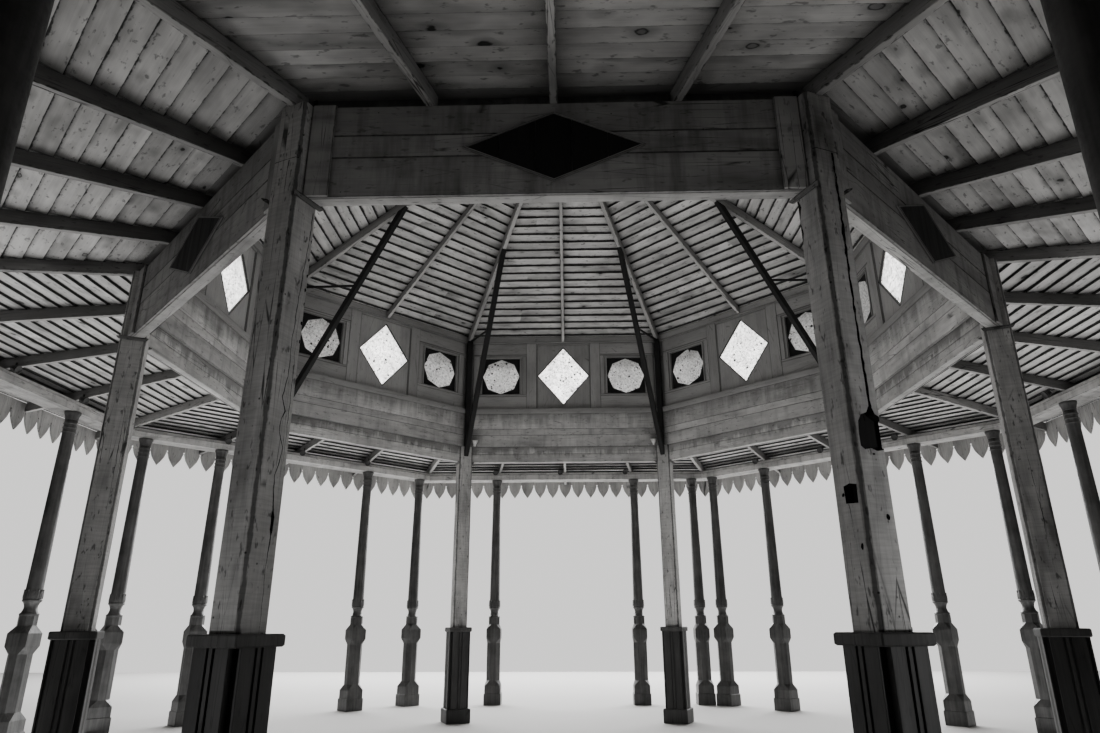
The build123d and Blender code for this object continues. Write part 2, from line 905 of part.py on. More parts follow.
# Pedestals: square blocks joined by broach stops to an octagonal shaft. Each cross-section is
# what an upright square and a turned one share, and both taper from level to level.
lower_block_top = column_plinth_height + lower_block_height
octagon_foot = lower_block_top + broach_height
octagon_head = octagon_foot + octagon_shaft_height
upper_block_foot = octagon_head + broach_height
upper_block_head = upper_block_foot + upper_block_height
neck_foot = upper_block_head + broach_height
neck_head = neck_foot + neck_height
upright_levels = (
    (column_plinth_height, lower_block_side),
    (lower_block_top, lower_block_side),
    (octagon_foot, octagon_shaft_across),
    (octagon_head, octagon_shaft_across),
    (upper_block_foot, upper_block_side),
    (upper_block_head, upper_block_side),
    (neck_foot, neck_across),
    (neck_head, neck_across),
)
turned_levels = (
    (column_plinth_height, sqrt(2) * (lower_block_side - arris)),
    (lower_block_top, sqrt(2) * (lower_block_side - arris)),
    (octagon_foot, octagon_shaft_across),
    (octagon_head, octagon_shaft_across),
    (upper_block_foot, sqrt(2) * (upper_block_side - arris)),
    (upper_block_head, sqrt(2) * (upper_block_side - arris)),
    (neck_foot, neck_across),
    (neck_head, neck_across),
)
with BuildPart() as turned_square:
    tapered_stack(turned_levels, SECTOR)
with BuildPart() as column_pedestal:
    tapered_stack(upright_levels, 0)
    add(turned_square.part, mode=Mode.INTERSECT)
with BuildPart() as column_pedestals:
    with Locations(*column_places):
        add(column_pedestal.part)
column_pedestals.part.label = "column_pedestals"
export_step(column_pedestals.part, "parts/column_pedestals.step")

# Collars on the pedestals: a hollow waist between two rings
waist_foot = neck_head + collar_ring_height
waist_head = waist_foot + collar_waist_height
shaft_foot = waist_head + collar_ring_height
with BuildPart() as column_collar:
    with BuildSketch(Plane.XZ):
        with BuildLine():
            Polyline(
                (0, neck_head),
                (collar_radius, neck_head),
                (collar_radius, waist_foot),
                (collar_waist_radius, (waist_foot + waist_head) / 2),
                (collar_radius, waist_head),
                (collar_radius, shaft_foot),
                (0, shaft_foot),
                close=True,
            )
        make_face()
    revolve(axis=Axis.Z)
with BuildPart() as column_collars:
    with Locations(*column_places):
        add(column_collar.part)
column_collars.part.label = "column_collars"
export_step(column_collars.part, "parts/column_collars.step")

# Shafts: a leaf band at the foot, a taper, and rings below the capital
band_head = shaft_foot + leaf_band_height
capital_foot = column_height - capital_height - abacus_height
taper_head = capital_foot - ring_count * ring_pitch
shaft_outline = [
    (0, shaft_foot),
    (leaf_band_radius, shaft_foot),
    (shaft_foot_radius, band_head),
    (shaft_head_radius, taper_head),
]
for ring in range(ring_count):
    ring_foot = taper_head + ring * ring_pitch
    shaft_outline += [
        (ring_radius, ring_foot + ring_height / 2),
        (shaft_head_radius, ring_foot + ring_height),
        (shaft_head_radius, ring_foot + ring_pitch),
    ]
shaft_outline.append((0, capital_foot))
with BuildPart() as column_shaft:
    with BuildSketch(Plane.XZ):
        with BuildLine():
            Polyline(*shaft_outline, close=True)
        make_face()
    revolve(axis=Axis.Z)
with BuildPart() as column_shafts:
    with Locations(*column_places):
        add(column_shaft.part)
column_shafts.part.label = "column_shafts"
export_step(column_shafts.part, "parts/column_shafts.step")

# Capitals, flared out under a flat top
with BuildPart() as column_capital:
    with BuildSketch(Plane.XZ):
        with BuildLine():
            Polyline((0, column_height), (0, capital_foot), (shaft_head_radius, capital_foot))
            RadiusArc(
                (shaft_head_radius, capital_foot),
                (capital_radius, capital_foot + capital_height),
                2 * capital_height,
            )
            Polyline(
                (capital_radius, capital_foot + capital_height),
                (capital_radius, column_height),
                (0, column_height),
            )
        make_face()
    revolve(axis=Axis.Z)
with BuildPart() as column_capitals:
    with Locations(*column_places):
        add(column_capital.part)
column_capitals.part.label = "column_capitals"
export_step(column_capitals.part, "parts/column_capitals.step")
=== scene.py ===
"""Looks of the octagonal bandstand, in metres. Azimuth 0 looks along +Y, and the side on +X is
the first of the eight. Apothems are measured square to a side, radii towards a corner."""

from math import atan2, ceil, cos, hypot, pi, radians, sin, sqrt, tan
from random import Random

import bmesh
import bpy
from mathutils import Matrix, Vector, noise


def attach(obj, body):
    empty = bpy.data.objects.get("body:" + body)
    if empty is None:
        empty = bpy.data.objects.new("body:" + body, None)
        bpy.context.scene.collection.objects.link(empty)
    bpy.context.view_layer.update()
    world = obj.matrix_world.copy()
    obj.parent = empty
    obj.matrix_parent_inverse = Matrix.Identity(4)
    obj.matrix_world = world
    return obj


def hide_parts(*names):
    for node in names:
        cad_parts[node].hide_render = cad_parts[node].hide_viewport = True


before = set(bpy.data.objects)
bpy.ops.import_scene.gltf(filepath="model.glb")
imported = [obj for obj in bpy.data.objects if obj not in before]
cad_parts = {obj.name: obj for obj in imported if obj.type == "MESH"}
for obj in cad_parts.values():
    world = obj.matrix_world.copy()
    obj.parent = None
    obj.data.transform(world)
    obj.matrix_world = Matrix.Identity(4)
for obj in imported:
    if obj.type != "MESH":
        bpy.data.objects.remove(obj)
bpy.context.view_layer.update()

# A fixed seed, so that the timbers waver in the same way at every run
noise.seed_set(1)

SIDES = 8
FRONT = 6
NEAR_LEFT, NEAR_RIGHT = 5, 6
SECTOR = 2 * pi / SIDES
HALF = SECTOR / 2
TAN_HALF = tan(HALF)
COS_HALF = cos(HALF)
SIN_HALF = sin(HALF)

# Hall: posts on pedestals, and the ring beam
POST_RING = 4.400
POST_HALF = 0.112
POST_CHAMFER = 0.026
PLINTH_TOP = 0.200
PEDESTAL_HALF = 0.1635
CAP_BOTTOM = 1.290
PEDESTAL_TOP = 1.356
BEAM_BOTTOM = 3.963
BEAM_TOP = 4.649
BEAM_INNER = POST_RING * COS_HALF - 0.042
BEAM_OUTER = BEAM_INNER + 0.088
WALL_OUTER = BEAM_OUTER + 0.025
STEP = 4.224
STRUT_FOOT = POST_RING - POST_HALF, BEAM_BOTTOM + 0.167
STRUT_RUN = 1.868

# Window wall
FASCIA_INNER = BEAM_INNER - 0.038
SILL_BOTTOM = 4.794
SILL_TOP = 4.888
HEAD_BOTTOM = 6.090
WINDOW_MIDDLE = (SILL_TOP + HEAD_BOTTOM) / 2
PANEL_INNER = BEAM_INNER + 0.022
PANEL_OUTER = PANEL_INNER + 0.034
MULLION_CENTRE = 0.555
MULLION_WIDTH = 0.175
RECESS_CENTRE = 1.0895
RECESS_HALF = 0.325
OCTAGON_RADIUS = 0.3175

# Main roof
APEX = 8.203
ROOF_SLOPE = 1.999 / BEAM_INNER
ROOF_EDGE = WALL_OUTER + 0.420
BOARD_PITCH = 0.155
BOARDING = 0.046
BOARDING_RISE = BOARDING * hypot(1, ROOF_SLOPE)
COVERING_RISE = 0.022 * hypot(1, ROOF_SLOPE)

# Veranda
VERANDA_SLOPE = 0.1416
VERANDA_RAFTER = 0.125
VERANDA_PEAK = BEAM_TOP + VERANDA_SLOPE * WALL_OUTER + VERANDA_RAFTER
COLUMN_LINE = WALL_OUTER + 2.546
VALANCE_INNER = COLUMN_LINE + 0.733
VALANCE_OUTER = VALANCE_INNER + 0.025
VERANDA_EDGE = VALANCE_OUTER + 0.030
EAVES_TOP = BEAM_TOP - VERANDA_SLOPE * (COLUMN_LINE - WALL_OUTER) - 0.040
COLUMN_HEIGHT = EAVES_TOP - 0.100
FAN = (-HALF / 2, 0, HALF / 2)


def ceiling(apothem):
    """Underside of the main roof's boards."""
    return APEX - ROOF_SLOPE * apothem


def hip_underside(radius):
    """Underside of the hip rafters."""
    return APEX - ROOF_SLOPE * COS_HALF * radius - ROOF_SLOPE * SIN_HALF * 0.031 - 0.130


def veranda_underside(apothem):
    """Underside of the veranda's rafters."""
    return BEAM_TOP - VERANDA_SLOPE * (apothem - WALL_OUTER)


STRUT_SLOPE = (hip_underside(STRUT_FOOT[0] - STRUT_RUN) - STRUT_FOOT[1]) / STRUT_RUN


def spot(angle, out, aside, height):
    """A point from its distance out along an angle, its distance aside of that line, and height."""
    return (out * cos(angle) - aside * sin(angle), out * sin(angle) + aside * cos(angle), height)


class Value:
    """An output in a node tree. Sums of values become Math nodes."""

    def __init__(self, steps, socket):
        self.steps, self.socket = steps, socket

    def __add__(self, other):
        return self.steps.math("ADD", self, other)

    def __mul__(self, other):
        return self.steps.math("MULTIPLY", self, other)

    def __sub__(self, other):
        return self.steps.math("SUBTRACT", self, other)

    def __rsub__(self, other):
        return self.steps.math("SUBTRACT", other, self)

    __radd__, __rmul__ = __add__, __mul__


class Steps:
    """Nodes of one tree, each fed with numbers or with the values of other nodes."""

    def __init__(self, tree):
        self.tree = tree

    def feed(self, socket, value):
        if isinstance(value, Value):
            self.tree.links.new(value.socket, socket)
        else:
            socket.default_value = value

    def node(self, kind, inputs=(), **settings):
        node = self.tree.nodes.new(kind)
        for name, value in settings.items():
            setattr(node, name, value)
        for key, value in dict(inputs).items():
            self.feed(node.inputs[key], value)
        return node

    def add(self, kind, inputs=(), out=0, **settings):
        return Value(self, self.node(kind, inputs, **settings).outputs[out])

    def math(self, operation, *values):
        return self.add("ShaderNodeMath", enumerate(values), operation=operation)

    def span(self, value, low, high, out_low=0.0, out_high=1.0):
        """A value taken from one span to another, and held inside it."""
        return self.add("ShaderNodeMapRange", enumerate((value, low, high, out_low, out_high)), clamp=True)

    def scaled(self, vector, x, y, z):
        return self.add("ShaderNodeVectorMath", {0: vector, 1: (x, y, z)}, operation="MULTIPLY")

    def shifted(self, vector, by):
        return self.add("ShaderNodeVectorMath", {0: vector, 1: by}, operation="ADD")

    def vector(self, x, y, z):
        return self.add("ShaderNodeCombineXYZ", {0: x, 1: y, 2: z})

    def parts(self, vector):
        return [Value(self, socket) for socket in self.node("ShaderNodeSeparateXYZ", {0: vector}).outputs]

    def place(self, kind="Object"):
        return self.add("ShaderNodeTexCoord", out=kind)

    def noise(self, vector, detail=2.0, roughness=0.55):
        values = {"Vector": vector, "Scale": 1.0, "Detail": detail, "Roughness": roughness}
        return self.add("ShaderNodeTexNoise", values)

    def scattered(self, vector, scale=1.0):
        """Distance to the nearest of scattered points, and that point's own random number."""
        cells = self.node("ShaderNodeTexVoronoi", {"Vector": vector, "Scale": scale})
        distance, colour = (Value(self, cells.outputs[name]) for name in ("Distance", "Color"))
        return distance, self.add("ShaderNodeSeparateColor", {0: colour})

    def blend(self, share, first, second):
        node = self.node("ShaderNodeMix", data_type="RGBA")
        for socket, value in zip([s for s in node.inputs if s.enabled], (share, first, second)):
            self.feed(socket, value)
        return Value(self, [s for s in node.outputs if s.enabled][0])

    def relief(self, shader, height, strength, distance=0.004):
        bump = {"Strength": strength, "Distance": distance, "Height": height}
        self.feed(shader.inputs["Normal"], self.add("ShaderNodeBump", bump))


def bare_finish(name):
    material = bpy.data.materials.new(name)
    material.use_nodes = True
    material.node_tree.nodes.clear()
    steps = Steps(material.node_tree)
    shader = steps.node("ShaderNodeBsdfPrincipled")
    steps.node("ShaderNodeOutputMaterial", {0: Value(steps, shader.outputs[0])})
    return material, steps, shader


def grey(value, warmth=0.012):
    """A near-neutral grey, a touch warm."""
    return (value * (1 + warmth), value, value * (1 - 1.5 * warmth), 1.0)


def timber_finish(
    name, raw, paint, base=0.62, streak=0.12, band=0.12, cloud=0.24, stains=0.5, runs=0.0, cracks=0.5,
    knots=0.0, chips=0.5, seam_grime_and_shade=0.5, lap=0.0, roughness=0.8, relief=0.4, corner_shade=0.45, chamfer=0.0, holes=0.0,
    sides=1.0, stained=None, reach=0.16, worn=0.42, sawn=0.0,
):
    """Old painted timber. Its grain runs along the piece: streaks, stains, drying cracks and
    knots, grime and painted shade in the joints, painted shade in corners, on timber sides and at board laps,
    and bare wood where the paint has gone at the arrises."""
    material, steps, shader = bare_finish(name)
    span = steps.span
    laid, sizes = (
        steps.add("ShaderNodeAttribute", out="Vector", attribute_name=title) for title in ("grain", "half")
    )
    tone = steps.add("ShaderNodeAttribute", out="Fac", attribute_name="tone")
    grain = steps.shifted(laid, steps.vector(tone * 61.0, tone * 23.0, 0.0))

    def flecks(along, across, detail=2.0, rough=0.55):
        return steps.noise(steps.scaled(grain, along, across, across), detail, rough)

    streaks, bands, clouds = flecks(1.7, 70.0, 2.0, 0.6), flecks(0.8, 13.0), flecks(1.5, 3.8, 3.0, 0.62)
    value = base + span(streaks, 0.28, 0.72, -streak, streak)
    value += span(bands, 0.30, 0.70, -band, band)
    value += span(clouds, 0.30, 0.70, -cloud, cloud)
    value *= span(tone, 0.0, 1.0, 0.80, 1.12)
    if stains:
        value *= span(flecks(0.8, 2.7, 3.0, 0.72), 0.52, 0.70, 1.0, 1.0 - 0.8 * stains)
        value *= span(flecks(12.0, 30.0, 2.0, 0.6), 0.62, 0.70, 1.0, 1.0 - 0.8 * stains)
    if runs:
        value *= span(flecks(7.0, 0.9, 4.0, 0.65), 0.48, 0.72, 1.0, 1.0 - runs)
    height = streaks * 0.5
    if cracks:
        cells = {"Vector": steps.scaled(grain, 0.8, 17.0, 17.0), "Scale": 1.0}
        edges = steps.add("ShaderNodeTexVoronoi", cells, "Distance", feature="DISTANCE_TO_EDGE")
        closed = span(edges - span(clouds, 0.52, 0.74, 0.0, 0.11 * cracks), -0.015, 0.012)
        value *= span(closed, 0.0, 1.0, 0.12, 1.0)
        if relief > 0.4:
            height += closed
    if knots:
        wander = {"Vector": steps.scaled(grain, 14.0, 30.0, 30.0), "Scale": 1.0}
        wander = steps.scaled(steps.add("ShaderNodeTexNoise", wander, 1), 0.16, 0.16, 0.16)
        distance, pick = steps.scattered(steps.shifted(steps.scaled(grain, 3.4, 6.4, 6.4), wander))
        rim = distance - span(pick, 0.50, 1.0, 0.04, 0.13 * knots)
        core = span(steps.math("ABSOLUTE", rim), 0.0, 0.045, 0.10, 1.0)
        core *= span(rim, -0.02, 0.02, span(tone, 0.3, 0.7, 0.10, 0.75), 1.0)
        has_knot = span(pick, 0.50, 0.51)
        value *= core * span(rim, 0.0, 0.30, 0.55, 1.0) * has_knot + (1.0 - has_knot)
    across, half = steps.parts(laid), steps.parts(sizes)
    inwards = [half[part] - steps.math("ABSOLUTE", across[part + 1]) for part in (0, 1)]
    inward = steps.math("MAXIMUM", *inwards)
    nibbled = flecks(11.0, 26.0, 2.0, 0.7)
    if chips:
        kept = span(inward - span(nibbled, 0.48, 0.78, 0.0, 0.030 * chips), -0.002, 0.002)
        value *= span(kept, 0.0, 1.0, 0.28, 1.0)
        if relief > 0.4:
            height += kept * 0.4
    # painted shade: the faces either side of the timber's width are darker than its top and underside
    if sides < 1.0:
        value *= span(inwards[0], 0.002, 0.006, sides, 1.0)
    if stained:
        low, high, strength = stained
        place = steps.place()
        drips = steps.noise(steps.scaled(place, 6.0, 6.0, 0.9), 4.0, 0.7)
        level = steps.parts(place)[2] + span(drips, 0.3, 0.7, -0.12, 0.12)
        value *= span(level, low, high, 1.0, 1.0 - strength)
    if sawn:
        value *= span(flecks(60.0, 5.0, 2.0, 0.7), 0.35, 0.65, 1.0 - sawn, 1.0 + sawn)
    # grime, and painted shade of the gaps between boards: darker within a few millimetres of each arris
    if seam_grime_and_shade:
        value *= span(inward, 0.0015, 0.0065, 1.0 - 0.8 * seam_grime_and_shade, 1.0)
        value *= span(inward, -0.03, -0.01, 0.03, 1.0)
    # painted shade at the laps: the boards' edge faces go near black, with a dark ragged line and a soft
    # darkening on the underside next to each lap
    if lap:
        value *= span(inwards[0], 0.0006, 0.0010, 0.06, 1.0)
        shown = half[0] - lap - across[1]
        value *= span(shown - span(nibbled, 0.35, 0.75, 0.003, 0.018), -0.002, 0.006, 0.06, 1.0)
        value *= span(shown, 0.004, 0.034, 0.66, 1.0)
    if chamfer:
        flat = inward - span(nibbled, 0.35, 0.7, chamfer - 0.007, chamfer - 0.001)
        value *= span(flat, -0.002, 0.002, worn, 1.0)
    if holes:
        pits = steps.add("ShaderNodeTexVoronoi", {"Vector": grain, "Scale": 8.5}, "Distance")
        value *= span(pits, 0.035 * holes, 0.075 * holes, 0.08, 1.0)
    # painted shade: the colour darkens where other surfaces are close, in corners, crevices and beside
    # neighbouring timbers
    if corner_shade:
        corner = steps.add("ShaderNodeAmbientOcclusion", {"Distance": reach}, "AO", samples=4)
        value *= span(corner, 0.25, 0.85, 1.0 - corner_shade, 1.0)
    steps.feed(shader.inputs["Base Color"], steps.blend(value, grey(raw), grey(paint)))
    steps.feed(shader.inputs["Roughness"], span(bands, 0.3, 0.7, roughness - 0.07, roughness + 0.1))
    shader.inputs["Specular IOR Level"].default_value = 0.3
    if relief:
        steps.relief(shader, height, relief)
    return material


def iron_finish(name, dark, light, roughness=0.42):
    """Iron under old gloss paint: a sand-cast skin, runs, and grime in patches."""
    material, steps, shader = bare_finish(name)
    place = steps.place()
    skin = steps.noise(steps.scaled(place, 60.0, 60.0, 60.0), 3.0, 0.6)
    clouds = steps.noise(steps.scaled(place, 4.0, 4.0, 4.0), 4.0, 0.65)
    value = clouds * 0.5 + steps.noise(steps.scaled(place, 26.0, 26.0, 1.7), 3.0) * 0.5
    share = steps.span(value, 0.38, 0.64)
    steps.feed(shader.inputs["Base Color"], steps.blend(share, grey(dark), grey(light)))
    steps.feed(shader.inputs["Roughness"], steps.span(skin, 0.3, 0.7, roughness - 0.08, roughness + 0.14))
    steps.relief(shader, skin, 0.3, 0.002)
    return material


def pane_finish(name, clear, painted_glow, specks):
    """Old obscured glass, clouded, and speckled with grime. It glows with painted light, as if lit from
    behind, and carries painted leaf shadows.
    """
    material, steps, shader = bare_finish(name)
    place, span = steps.place(), steps.span
    value = span(steps.noise(steps.scaled(place, 3.2, 3.2, 3.2), 4.0, 0.62), 0.35, 0.65, 0.72, 1.0)
    value *= span(steps.noise(steps.scaled(place, 30.0, 30.0, 30.0), 3.0, 0.75), 0.30, 0.58, 0.30, 1.0)
    for size, most, share in ((20.0, 0.42, 0.72), (36.0, 0.40, 0.60)):
        distance, pick = steps.scattered(place, size)
        value *= span(distance - span(pick, share, 1.0, -0.08, most * specks), 0.0, 0.06, 0.0, 1.0)
    # painted leaf shadows: sharp-edged darker patches across the glass
    value *= span(steps.noise(steps.scaled(place, 9.0, 9.0, 22.0), 5.0, 0.75), 0.62, 0.70, 1.0, 0.35)
    colour = steps.blend(value, grey(0.01), grey(clear))
    steps.feed(shader.inputs["Base Color"], colour)
    steps.feed(shader.inputs["Emission Color"], colour)
    # painted light: the glass glows with its own colour, as if daylight came through it from behind
    for socket, amount in (
        ("Roughness", 0.55), ("IOR", 1.2), ("Transmission Weight", 0.25), ("Emission Strength", painted_glow),
    ):
        shader.inputs[socket].default_value = amount
    return material


def sheet_finish(name, dark, light):
    """Weathered roof sheet: dull, streaked down the slope and spotted with grime."""
    material, steps, shader = bare_finish(name)
    place = steps.place()
    x, y, z = steps.parts(place)
    radius, turn = steps.math("SQRT", x * x + y * y), steps.math("ARCTAN2", y, x)
    streaks = steps.noise(steps.vector(radius * 0.7, turn * 30.0, z), 4.0)
    spots = steps.noise(steps.scaled(place, 3.5, 3.5, 3.5), 5.0, 0.7)
    share = steps.span(streaks * 0.5 + spots * 0.5, 0.38, 0.62)
    steps.feed(shader.inputs["Base Color"], steps.blend(share, grey(dark), grey(light)))
    steps.feed(shader.inputs["Roughness"], steps.span(spots, 0.3, 0.7, 0.5, 0.72))
    shader.inputs["Metallic"].default_value = 0.3
    steps.relief(shader, spots, 0.25)
    return material


board_paint = timber_finish(
    "ceiling boards", 0.02, 0.90, 0.82, 0.055, 0.05, 0.22, stains=0.65, cracks=0.0, knots=1.15, chips=0.2,
    seam_grime_and_shade=0.0, lap=0.014, relief=0.0, corner_shade=0.8, reach=0.22,
)
roof_board_paint = timber_finish(
    "main roof boards", 0.02, 0.74, 0.80, 0.08, 0.07, 0.24, stains=0.75, cracks=0.0, knots=1.0, chips=0.2,
    seam_grime_and_shade=0.0, lap=0.014, relief=0.0, corner_shade=0.8, reach=0.22,
)
rafter_paint = timber_finish(
    "rafters", 0.02, 0.64, 0.74, 0.06, 0.05, 0.20, cracks=0.4, chips=0.6, seam_grime_and_shade=0.2, relief=0.3, sides=0.62,
)
veranda_paint = timber_finish(
    "veranda rafters", 0.02, 0.66, 0.76, 0.06, 0.05, 0.20, cracks=0.4, seam_grime_and_shade=0.0, relief=0.3, sides=0.30,
)
hip_paint = timber_finish(
    "veranda hips", 0.02, 0.66, 0.76, 0.08, 0.06, 0.24, stains=0.65, chips=0.7, seam_grime_and_shade=0.0, sides=0.66,
)
pendant_paint = timber_finish(
    "pendants", 0.02, 0.60, 0.74, 0.06, 0.05, 0.20, cracks=0.3, chips=0.4, seam_grime_and_shade=0.0, relief=0.0,
)
post_paint = timber_finish(
    "posts", 0.02, 0.66, 0.72, 0.06, 0.06, 0.22, stains=0.85, chips=0.9, seam_grime_and_shade=0.0, relief=0.45,
    chamfer=POST_CHAMFER, holes=1.0, worn=0.30, sawn=0.10,
)
beam_paint = timber_finish(
    "beams", 0.02, 0.70, 0.76, 0.035, 0.035, 0.18, runs=0.45, cracks=0.25, chips=0.3, seam_grime_and_shade=0.9, relief=0.3,
    holes=0.7,
)
fascia_paint = timber_finish(
    "inner fascias", 0.02, 0.74, 0.76, 0.025, 0.05, 0.22, runs=0.35, cracks=0.2, chips=0.15, seam_grime_and_shade=0.4,
    relief=0.0, stained=(4.56, 4.78, 0.5), corner_shade=0.65, reach=0.45,
)
lower_paint = timber_finish(
    "lower beams", 0.02, 0.74, 0.76, 0.03, 0.05, 0.22, stains=0.6, runs=0.25, cracks=0.25, chips=0.2,
    seam_grime_and_shade=0.35, relief=0.3, holes=0.7, stained=(4.08, 4.17, 0.5),
)
# painted shade: the outer planks and end boards have a darker paint than the beams, for the shade under the
# veranda roof
shaded_plank_paint = timber_finish(
    "shaded outer planks", 0.02, 0.44, 0.76, 0.035, 0.035, 0.20, runs=0.5, cracks=0.35, chips=0.3, seam_grime_and_shade=0.9,
    relief=0.3, holes=0.7,
)
window_paint = timber_finish(
    "window timber", 0.02, 0.44, 0.76, 0.03, 0.03, 0.12, stains=0.25, cracks=0.1, chips=0.15, seam_grime_and_shade=0.9,
    relief=0.0,
)
# painted shade: the insides of the cracks, holes and the mortise are near black, for rot and dirt and for the
# shade deep inside them
hollow_shade_paint = timber_finish(
    "inside of cracks", 0.003, 0.012, chips=0.0, seam_grime_and_shade=0.0, roughness=0.9, relief=0.0, corner_shade=0.0,
)
dark_paint = timber_finish("dark timber", 0.003, 0.014, stains=0.4, cracks=0.4, chips=0.0, roughness=0.65)
pedestal_paint = timber_finish(
    "pedestal boards", 0.012, 0.068, stains=0.4, cracks=0.3, chips=0.0, seam_grime_and_shade=0.4, roughness=0.55,
)
worn_edge_paint = timber_finish("pedestal caps", 0.015, 0.12, cracks=0.4, chips=0.0, seam_grime_and_shade=0.0, roughness=0.7)
column_paint = iron_finish("column iron", 0.03, 0.095)
iron_paint = iron_finish("small ironwork", 0.01, 0.04, 0.5)
lamp_paint = iron_finish("pale lamps", 0.35, 0.85, 0.4)
sheet_skin = sheet_finish("roof sheet", 0.18, 0.40)
# painted light: the diamond panes glow strongly, the eight-sided ones faintly
diamond_glass = pane_finish("diamond glass", 0.97, 2.6, 1.0)
octagon_glass = pane_finish("eight-sided glass", 0.58, 0.40, 1.0)


def finished(name, mesh, finish, slot, *nodes):
    """Sets a mesh in the scene: it rides on the bandstand and stands for its solids."""
    mesh.name = name
    if finish:
        mesh.materials.clear()
        mesh.materials.append(finish)
    piece = in_scene(name, mesh)
    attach(piece, "root")
    if nodes:
        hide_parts(*nodes)
    return piece


def in_scene(name, data):
    thing = bpy.data.objects.new(name, data)
    bpy.context.scene.collection.objects.link(thing)
    return thing


def keep_solid(node, finish):
    """A solid that has the right shape stays, and gets its finish."""
    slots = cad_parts[node].data.materials
    slots.clear()
    slots.append(finish)


def skin(first, rows, count):
    """Faces of a closed bar, from rows of so many points, with its two ends."""
    faces = []
    for base in range(first, first + (rows - 1) * count, count):
        for corner in range(count):
            ahead = (corner + 1) % count
            faces.append((base + corner, base + ahead, base + count + ahead, base + count + corner))
    last = first + (rows - 1) * count
    return faces + [tuple(range(first, first + count))[::-1], tuple(range(last, last + count))]


def outwards(mesh):
    """Turns the faces of closed shapes outwards."""
    shape = bmesh.new()
    shape.from_mesh(mesh)
    bmesh.ops.recalc_face_normals(shape, faces=shape.faces)
    shape.to_mesh(mesh)
    shape.free()
    return mesh


def planed(low_u, high_u, low_v, high_v, arris=0.003):
    """The cross-section of a sawn timber with eased corners."""
    return [
        (low_u + arris, low_v), (high_u - arris, low_v), (high_u, low_v + arris), (high_u, high_v - arris),
        (high_u - arris, high_v), (low_u + arris, high_v), (low_u, high_v - arris), (low_u, low_v + arris),
    ]


def cut_square(half, cut):
    """The cross-section of a square with cut corners."""
    near = half - cut
    return [
        (near, -half), (half, -near), (half, near), (near, half), (-near, half), (-half, near),
        (-half, -near), (-near, -half),
    ]


def mitre(apothem):
    """Where a timber on a hip meets a line round the building, by its distance aside."""
    return lambda u: (apothem - abs(u) * SIN_HALF) / COS_HALF


def lay_grain(mesh, grain, half, tone):
    """Gives each point its place in the timber, the timber's half sizes and its tone."""
    for title, kind, part, values in (
        ("grain", "FLOAT_VECTOR", "vector", grain), ("half", "FLOAT_VECTOR", "vector", half),
        ("tone", "FLOAT", "value", [(shade,) for shade in tone]),
    ):
        if title in mesh.attributes:
            mesh.attributes.remove(mesh.attributes[title])
        layer = mesh.attributes.new(title, kind, "POINT")
        layer.data.foreach_set(part, [number for value in values for number in value])


